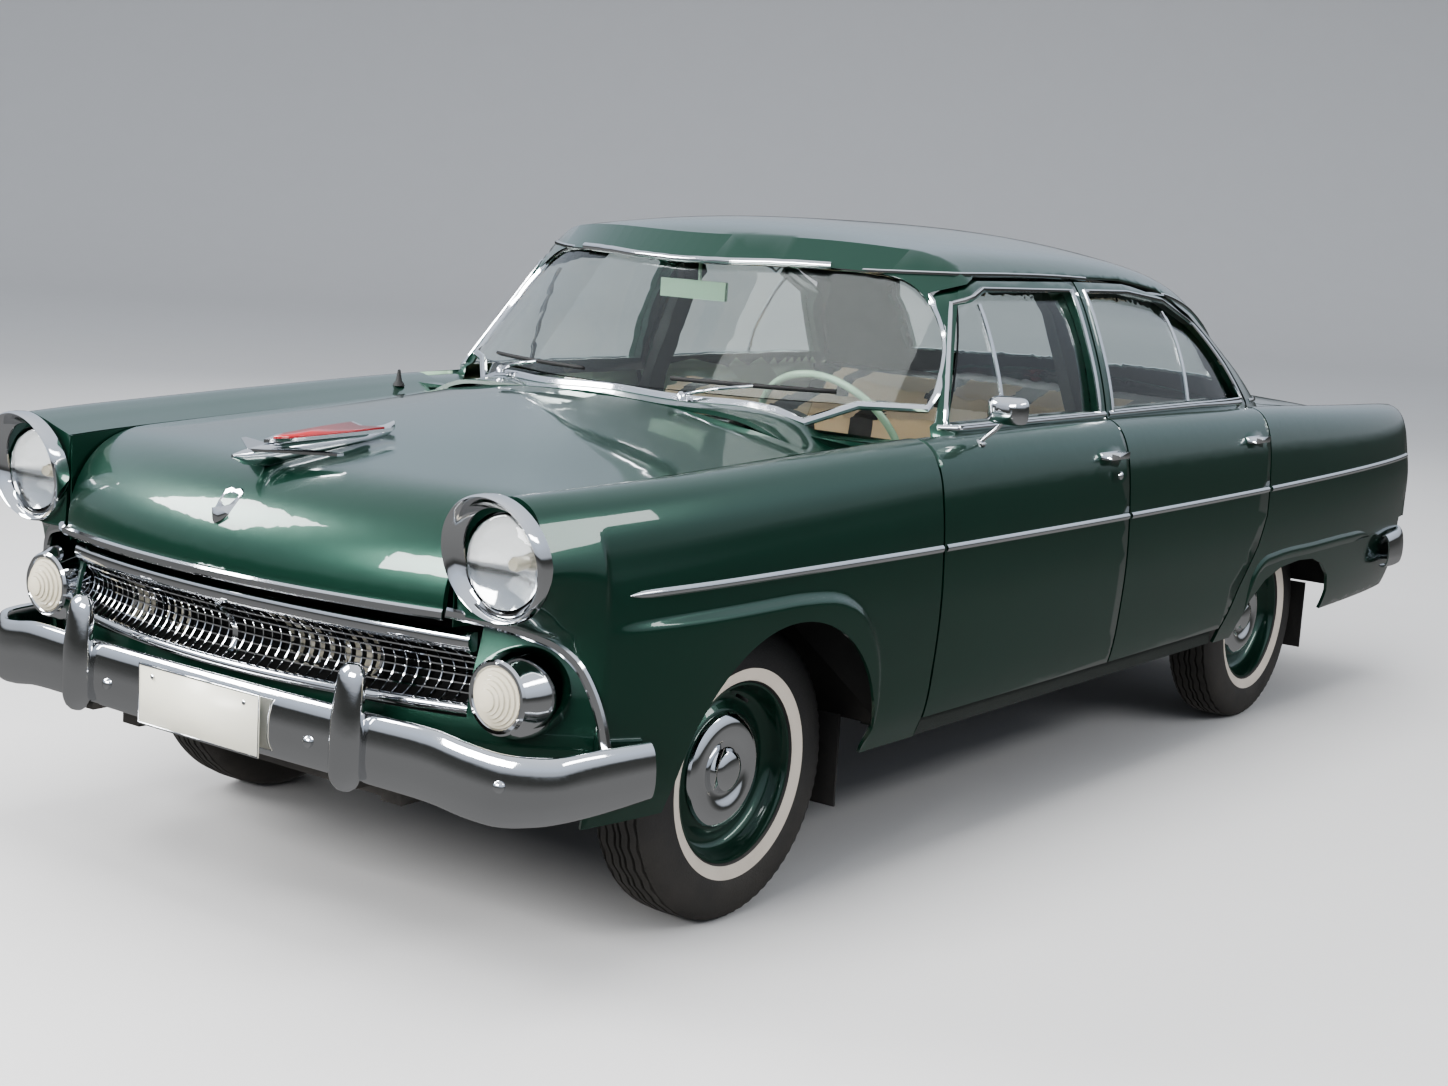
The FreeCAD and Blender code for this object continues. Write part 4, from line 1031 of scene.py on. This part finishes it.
# Chrome along the roof's front edge, above the windshield
def buildBrowTrim():
    tree = treeOf(frame["nodes"]["roof"])
    spots = [lowestHit(tree, x, *brow["search"]) for x in np.linspace(-brow["half"], brow["half"], 47)]
    line = [spot + brow["lift"] for spot in spots if spot]
    placed(sharpen(sweep("brow_trim", line, halfRound, (0, -1, 0.2)), 35), "chrome", "roof")


wiper = {"middles": (-280, 400), "half": 200, "search": (1080, 3, 0), "tilt": (0, -1, 0.4),
         "lift": Vector((0, -14, 30)), "pivot": Vector((20, -35, -35)), "elbow": Vector((0, -12, 4)),
         "grip": Vector((0, -10, 0)), "knobSink": Vector((0, 0, 12)),
         "blade": [(-4, -6), (-4, 8), (4, 8), (4, -6)], "knob": [(13, 0), (12, 12), (6, 20), (0, 22)]}


# Two wipers at rest along the foot of the windshield
def buildWipers():
    tree = treeOf(frame["nodes"]["windshield"])
    pieces = []
    for middle in wiper["middles"]:
        spots = [lowestHit(tree, x, *wiper["search"])
                 for x in np.linspace(middle - wiper["half"], middle + wiper["half"], 12)]
        blade = [spot + wiper["lift"] for spot in spots if spot]
        centre = blade[len(blade) // 2]
        pivot = blade[1] + wiper["pivot"]
        arm = [pivot, (pivot + centre) / 2 + wiper["elbow"], centre + wiper["grip"]]
        pieces += [finished(sweep("blade", blade, wiper["blade"], wiper["tilt"]), "rubber"),
                   finished(sweep("arm", arm, ringProfile(4.5, 10), wiper["tilt"]), "chrome"),
                   finished(lathe("knob", wiper["knob"], pivot - wiper["knobSink"], 20, "Z"), "chrome")]
    settle(joined("wipers", pieces), "cowl")


# Of the body: along, half width, foot and top; of the other pieces: outlines seen from above
ornament = {
    "body": ((-2432, 3, 1016, 1024), (-2400, 10, 1000, 1032), (-2340, 16, 990, 1042),
             (-2250, 20, 1000, 1050), (-2150, 22, 1008, 1056), (-2050, 22, 1020, 1060),
             (-1985, 14, 1036, 1066), (-1955, 4, 1052, 1074)),
    "wing": [(0, -2390), (60, -2345), (155, -2275), (158, -2258), (60, -2285), (0, -2290)],
    "top": [(0, -2345), (34, -2280), (58, -2130), (66, -2020), (0, -2050), (-66, -2020), (-58, -2130),
            (-34, -2280)],
    "inlay": {"narrow": 0.84, "short": 0.86, "middle": -2150},
    "levels": {"wing": (1028, 1034), "top": (1050, 1058), "inlay": (1058, 1060.5)},
    "lean": {"from": -2340, "slope": 0.05, "sink": 6},
}


# The jet-like hood ornament with its red inlay
def buildOrnament():
    rows = []
    for y, wide, low, high in ornament["body"]:
        middle = (low + high) / 2
        rows.append([(wide * c, y, middle + (high - low) / 2 * s) for c, s in ringProfile(1, 20)])
    body = sharpen(gridMesh("body", rows, wrap=True, caps=True), 40)
    levels = ornament["levels"]
    wing = sharpen(prismOf("wing", ornament["wing"], "Z", *levels["wing"]), 40)
    top = sharpen(prismOf("top", ornament["top"], "Z", *levels["top"]), 40)
    red, lean = ornament["inlay"], ornament["lean"]
    outline = [(x * red["narrow"], red["middle"] + (y - red["middle"]) * red["short"])
               for x, y in ornament["top"]]
    inlay = prismOf("inlay", outline, "Z", *levels["inlay"])
    for piece in (top, inlay):
        for vertex in piece.data.vertices:
            vertex.co.z += (vertex.co.y - lean["from"] * mm) * lean["slope"] - lean["sink"] * mm
    pieces = [finished(body, "chrome"), finished(bothSides("wings", wing), "chrome"), finished(top, "chrome"),
              finished(inlay, "redEnamel")]
    settle(joined("hood_ornament-jet", pieces), "hood_ornament", True)


shield = {"outline": [(-27, 944), (-14, 950), (0, 947), (14, 950), (27, 944), (30, 922), (25, 900), (13, 886),
                      (0, 878), (-13, 886), (-25, 900), (-30, 922)],
          "foot": 878, "middle": 914, "slope": 0.8,
          "rings": ((1.0, -14), (1.0, 5), (0.84, 9), (0.4, 12), (0.02, 13))}


# The plain shield on the hood's front
def buildShield():
    foot = hitPoint(treeOf(frame["nodes"]["hood"]), (0, -3000, shield["foot"]), (0, 1, 0)).y
    middle = shield["middle"]
    rows = [[(x * share, foot + (z - shield["foot"]) * shield["slope"] - lift, middle + (z - middle) * share)
             for x, z in shield["outline"]] for share, lift in shield["rings"]]
    placed(sharpen(gridMesh("hood_shield", rows, wrap=True, caps=True), 30), "chrome", "hood")


mirror = {"centre": (953, 1147), "half": (54, 36), "round": (0.45, 0.5),
          "rings": ((-806, 0.4), (-802, 0.72), (-792, 0.93), (-778, 1.0), (-768, 1.0), (-768, 0.88),
                    (-772, 0.86)),
          "arm": [(886, -790, 1060), (905, -788, 1078), (930, -786, 1100), (945, -784, 1120)],
          "foot": ((886, -790, 1056), (0.2, 0, 1), 17)}


# The rounded door mirror on its bent arm
def buildMirror():
    rows = []
    for along, share in mirror["rings"]:
        row = []
        for turn in np.linspace(0, 2 * math.pi, 40, endpoint=False):
            sides = [math.copysign(abs(part) ** power, part) * half * share + middle
                     for part, power, half, middle in zip((math.cos(turn), math.sin(turn)), mirror["round"],
                                                          mirror["half"], mirror["centre"])]
            row.append((sides[0], along, sides[1]))
        rows.append(row)
    head = finished(sharpen(gridMesh("head", rows, wrap=True, caps=True), 35), "chrome")
    stem = sweep("stem", densify(mirror["arm"], (4, 4, 4)), ringProfile(6, 14), (0, -1, 0))
    foot = finished(domeBolt("foot", *mirror["foot"]), "chrome")
    settle(joined("door_mirror-round", [head, finished(stem, "chrome"), foot]), "door_mirror", True)


plate = {"low": (-197, -2513, 408), "high": (197, -2510, 543), "screwsAt": (150, 520),
         "rim": ((-196, -2512, 409), (196, -2512, 409), (196, -2512, 542), (-196, -2512, 542))}


# The blank front plate with its rim and screws
def buildPlate():
    x, z = plate["screwsAt"]
    screws = [domeBolt("screw", (side * x, plate["low"][1], z), (0, -1, 0), 6) for side in (-1, 1)]
    rim = sweep("rim", plate["rim"], ringProfile(3, 8), (0, -1, 0), closedLine=True)
    pieces = [finished(boxOf("sheet", plate["low"], plate["high"]), "plateCream")]
    pieces += [finished(piece, "chrome") for piece in [rim] + screws]
    settle(joined("front_plate", pieces), "front_bumper")


flap = {"across": (655, 832), "up": (196, 425), "thick": 6,
        "panels": {"front_flap": ("front_fender", -1262), "rear_flap": ("rear_quarter", 1658)}}
antenna = {"across": 750, "along": -1200, "outline": [(17, 0), (15, 6), (9, 14), (6, 30), (4, 44), (0, 46)]}
doorLock = {"place": (951, -112, 938), "radius": 12}
tailRing = {"centre": (745, 2438, 830), "outline": [(66, 0), (82, 0), (84, 10), (79, 20), (72, 22), (66, 14)]}
tailpipe = {"line": [(-520, 1750, 300), (-520, 2100, 300), (-530, 2420, 292)], "radius": 22, "sides": 20}


# Mud flaps, antenna foot, front door locks, rings of the tail lamps and the tailpipe
def buildOutsidePieces(fender):
    (left, right), (low, high) = flap["across"], flap["up"]
    for name, (node, along) in flap["panels"].items():
        sheet = boxOf(name + "_l", (left, along, low), (right, along + flap["thick"], high))
        placedPair(sharpen(sheet), name, "rubber", node)
    x, y = antenna["across"], antenna["along"]
    top = hitPoint(treeOf(fender), (x, y, 2000), (0, 0, -1))
    foot = lathe("antennaFoot", antenna["outline"], (-x, y, top.z), 28, "Z")
    placed(sharpen(foot), "rubber", "front_fender_r")
    lock = domeBolt("front_lock_l", doorLock["place"], (1, 0, 0), doorLock["radius"])
    placedPair(lock, "front_lock", "chrome", "front_door")
    ring = sharpen(lathe("ring", tailRing["outline"], tailRing["centre"], 64, closedLine=True))
    placed(bothSides("tail_lamp_rings", ring), "chrome", "tail_lamps")
    around = ringProfile(tailpipe["radius"], tailpipe["sides"])
    rows = [[(x + a, y, z + b) for a, b in around + around[:1]]
            for x, y, z in densify(tailpipe["line"], (4, 4))]
    placed(sharpen(thickened(gridMesh("tailpipe", rows), 2)), "iron", "rear_deck")


gaugeHood = {"above": (380, -980, 2000), "sink": 4,
             "outline": [(112, 0), (110, 18), (98, 34), (70, 46), (34, 51), (0, 52)]}
hornRing = {"hub": Vector((380, -700, 991)), "lean": Vector((0, 0.866, 0.5)), "lift": 22, "radius": 150}


# The gauge hood on the instrument panel and the half ring on the steering wheel
def buildCabinPieces():
    top = hitPoint(treeOf(frame["nodes"]["instrument_panel"]), gaugeHood["above"], (0, 0, -1))
    hood = lathe("gauge_hood", gaugeHood["outline"], top - Vector((0, 0, gaugeHood["sink"])), 48, "Z")
    placed(sharpen(hood, 50), "cabinDark", "instrument_panel")
    lean = hornRing["lean"]
    across, up = Vector((1, 0, 0)), Vector((0, -lean.z, lean.y))
    middle = hornRing["hub"] + lean * hornRing["lift"]
    arc = [middle + (across * math.cos(turn) + up * math.sin(turn)) * hornRing["radius"]
           for turn in np.linspace(math.pi, 2 * math.pi, 32)]
    placed(sweep("horn_ring", arc, ringProfile(4.5), lean), "chrome", "steering_wheel")


# In metres
benchCloth = {"voxel": 0.016, "pressure": 4.0, "mass": 0.3, "quality": 5, "frames": 20, "most": 0.02,
              "base": 0.62,
              "bands": ((0.10, 0.19), (0.50, 0.56))}


def benchBand(centre, normal):
    return 1 if any(low < abs(centre.x) < high for low, high in benchCloth["bands"]) else 0


# The cover puffed up by a cloth simulation, held at its base and within a limit
def puffUp(piece):
    before = [v.co.copy() for v in piece.data.vertices]
    cloth = piece.modifiers.new("cloth", "CLOTH")
    cloth.settings.quality = benchCloth["quality"]
    cloth.settings.mass = benchCloth["mass"]
    cloth.settings.use_pressure = True
    cloth.settings.uniform_pressure_force = benchCloth["pressure"]
    cloth.settings.effector_weights.gravity = 0
    for number in range(1, benchCloth["frames"] + 1):
        scene.frame_set(number)
    applied(piece)
    for vertex, old in zip(piece.data.vertices, before):
        move = vertex.co - old
        if move.length > benchCloth["most"]:
            move = move.normalized() * benchCloth["most"]
        vertex.co = old if old.z < benchCloth["base"] else old + move
    scene.frame_set(1)


# A bench with dark bands across its cream cloth
def buildBench(node):
    piece = makeObject(node + "-cushion", frame["nodes"][node].data.copy())
    step = piece.modifiers.new("even", "REMESH")
    step.mode = "VOXEL"
    step.voxel_size = benchCloth["voxel"]
    applied(piece)
    puffUp(piece)
    finished(piece, "seatCloth", "seatBand", pick=benchBand)
    piece.data.shade_smooth()
    settle(piece, node, True)


# The car put together

plainNodes = {
    "paint": ["rear_quarter_l", "rear_quarter_r", "trunk_lid", "rear_deck", "cowl", "instrument_panel"],
    "glass": ["windshield", "rear_window", "front_door_glass_l", "front_door_glass_r", "rear_door_glass_l",
              "rear_door_glass_r"],
    "redLens": ["tail_lamps"],
    "mint": ["steering_wheel", "steering_column", "interior_mirror"],
    "iron": ["engine_block", "knuckle_l", "knuckle_r", "rear_axle", "front_cross_member"],
    "blackSteel": ["frame_rails", "floor_pan", "firewall", "inner_fender_l", "inner_fender_r"],
    "cabinDark": ["sills_and_pillars"],
}


# In metres: how far out and between which heights the handle is, and where the pale inside ends
doorZones = {"handleOut": 0.932, "handle": (0.976, 1.012), "insideMost": 0.885, "insideTop": 1.07}


# Paint outside, chrome on the pull handle, pale green inside
def doorFinish(centre, normal):
    across = abs(centre.x)
    if across > doorZones["handleOut"] and doorZones["handle"][0] < centre.z < doorZones["handle"][1]:
        return 2
    facesIn = normal.x * centre.x < -0.3 * across
    return 1 if facesIn and across < doorZones["insideMost"] and centre.z < doorZones["insideTop"] else 0


for name, nodes in plainNodes.items():
    for node in nodes:
        dressed(node, name)
for node in ("front_door_l", "front_door_r", "rear_door_l", "rear_door_r"):
    dressed(node, "paint", "mint", "chrome", pick=doorFinish)
dressed("roof", "paint", "cabinDark", pick=lambda centre, normal: 1 if normal.z < -0.25 else 0)
liftHoodEdges(dressed("hood", "paint"))
leftFender = buildFenders()
print("body dressed")
buildValance()
buildGrille()
buildBumpers()
buildGuards()
buildHeadlamps()
buildPods()
print("front end made")
for end in ("front", "rear"):
    for side in ("l", "r"):
        buildTyre(end + "_tyre_" + side)
        buildWheel(end + "_wheel_" + side)
print("wheels made")
buildSideTrims(leftFender)
buildGlassTrims()
buildBrowTrim()
buildWipers()
buildOrnament()
buildShield()
buildMirror()
buildPlate()
buildOutsidePieces(leftFender)
buildCabinPieces()
print("trims and small pieces made")
buildBench("front_bench")
buildBench("rear_bench")
print("benches made")


# Floor, light and camera, in metres

stage = {"reach": 40.0, "curve": 6.0, "half": 60, "top": 24, "near": 14, "away": Vector((-0.592, 0.806, 0)),
         "finish": {"colour": (0.56, 0.55, 0.54), "second": (0.545, 0.535, 0.525), "rough": (0.75, 0.85),
                    "fine": 5.0}}


# A pale floor that runs up into a backdrop a long way behind the car
def buildStage():
    away = stage["away"]
    across = Vector((away.y, -away.x, 0))
    reach, curve = stage["reach"], stage["curve"]
    profile = [(0, 0), (reach - curve, 0)]
    for i in range(1, 13):
        turn = math.pi / 2 * i / 12
        profile.append((reach - curve + curve * math.sin(turn), curve * (1 - math.cos(turn))))
    profile.append((reach, stage["top"]))
    points = [away * (out - stage["near"]) + across * side * stage["half"] + Vector((0, 0, up))
              for side in (-1, 1) for out, up in profile]
    size = len(profile)
    floor = makeMesh("studioFloor", points, [(i, i + 1, size + i + 1, size + i) for i in range(size - 1)])
    floor.data.materials.append(buildFinish("floorGrey", stage["finish"]))
    floor.visible_glossy = False


# Of each: place, target, size, power, and whether reflections show it
lamps = {
    "overhead": ((0.5, 0.0, 6.2), (0, 0, 0.6), (7.5, 4.0), 420, False),
    "frontSoft": ((0.2, -9.0, 4.2), (-0.2, -2.2, 0.9), (5.0, 2.4), 900, True),
    "hoodGlow": ((-6.0, -5.6, 5.4), (0, -2.1, 0.9), (3.2, 3.2), 620, True),
    "leftSoft": ((7.5, 0.5, 5.4), (0, 0, 0.8), (8.0, 1.2), 260, True),
    "rearSoft": ((-6.0, 7.0, 4.5), (0, 0, 0.9), (5.0, 2.0), 240, False),
}


def buildLamps():
    for name, (place, target, size, power, seen) in lamps.items():
        light = bpy.data.lights.new(name, "AREA")
        light.shape = "RECTANGLE"
        light.size, light.size_y = size
        light.energy = power
        item = makeObject(name, light)
        item.location = place
        item.rotation_mode = "QUATERNION"
        item.rotation_quaternion = (Vector(target) - Vector(place)).to_track_quat("-Z", "Y")
        item.visible_glossy = seen


# Height of each band, from straight down at 0 to straight up at 1, and its colour
skyBands = [(0.0, (0.24, 0.24, 0.24)), (0.40, (0.20, 0.20, 0.20)), (0.475, (0.07, 0.072, 0.07)),
            (0.505, (0.06, 0.062, 0.06)), (0.535, (0.46, 0.49, 0.54)), (0.65, (0.62, 0.69, 0.80)),
            (1.0, (0.86, 0.90, 0.96))]


# Soft light from all round, paler overhead
def buildSky():
    world = bpy.data.worlds.new("studioLight")
    world.use_nodes = True
    scene.world = world
    tree = world.node_tree
    background = tree.nodes["Background"]
    background.inputs["Strength"].default_value = 1.0
    direction = tree.nodes.new("ShaderNodeTexCoord").outputs["Generated"]
    split = tree.nodes.new("ShaderNodeSeparateXYZ")
    tree.links.new(direction, split.inputs[0])
    ramp = tree.nodes.new("ShaderNodeValToRGB")
    for element, (place, colour) in zip(ramp.color_ramp.elements, (skyBands[0], skyBands[-1])):
        element.position = place
        element.color = (*colour, 1)
    for place, colour in skyBands[1:-1]:
        ramp.color_ramp.elements.new(place).color = (*colour, 1)
    height = mathNode(tree, "MULTIPLY", mathNode(tree, "ADD", split.outputs["Z"], 1.0), 0.5)
    tree.links.new(height, ramp.inputs["Fac"])
    tree.links.new(ramp.outputs["Color"], background.inputs["Color"])


photoCamera = {"place": (3.532, -5.446, 1.629), "yaw": 36.3, "pitch": 9.21, "roll": 3.45, "lens": 52.95,
               "sensor": 36.0}


# The photograph's own view, fitted to a frame of 1448 by 1086
def buildCamera():
    yaw, pitch, roll = (math.radians(photoCamera[k]) for k in ("yaw", "pitch", "roll"))
    back = Vector((math.sin(yaw) * math.cos(pitch), -math.cos(yaw) * math.cos(pitch), math.sin(pitch)))
    right = Vector((math.cos(yaw), math.sin(yaw), 0))
    up = back.cross(right)
    turnedRight = right * math.cos(roll) + up * math.sin(roll)
    turnedUp = up * math.cos(roll) - right * math.sin(roll)
    camera = bpy.data.cameras.new("photoCamera")
    camera.sensor_width = photoCamera["sensor"]
    camera.sensor_fit = "HORIZONTAL"
    camera.lens = photoCamera["lens"]
    item = makeObject("photoCamera", camera)
    axes = Matrix((turnedRight, turnedUp, back)).transposed().to_4x4()
    item.matrix_world = Matrix.Translation(photoCamera["place"]) @ axes
    scene.camera = item


buildStage()
buildLamps()
buildSky()
buildCamera()
scene.view_settings.view_transform = "AgX"
scene.view_settings.look = "AgX - Medium High Contrast"
print("stage, light and camera set")
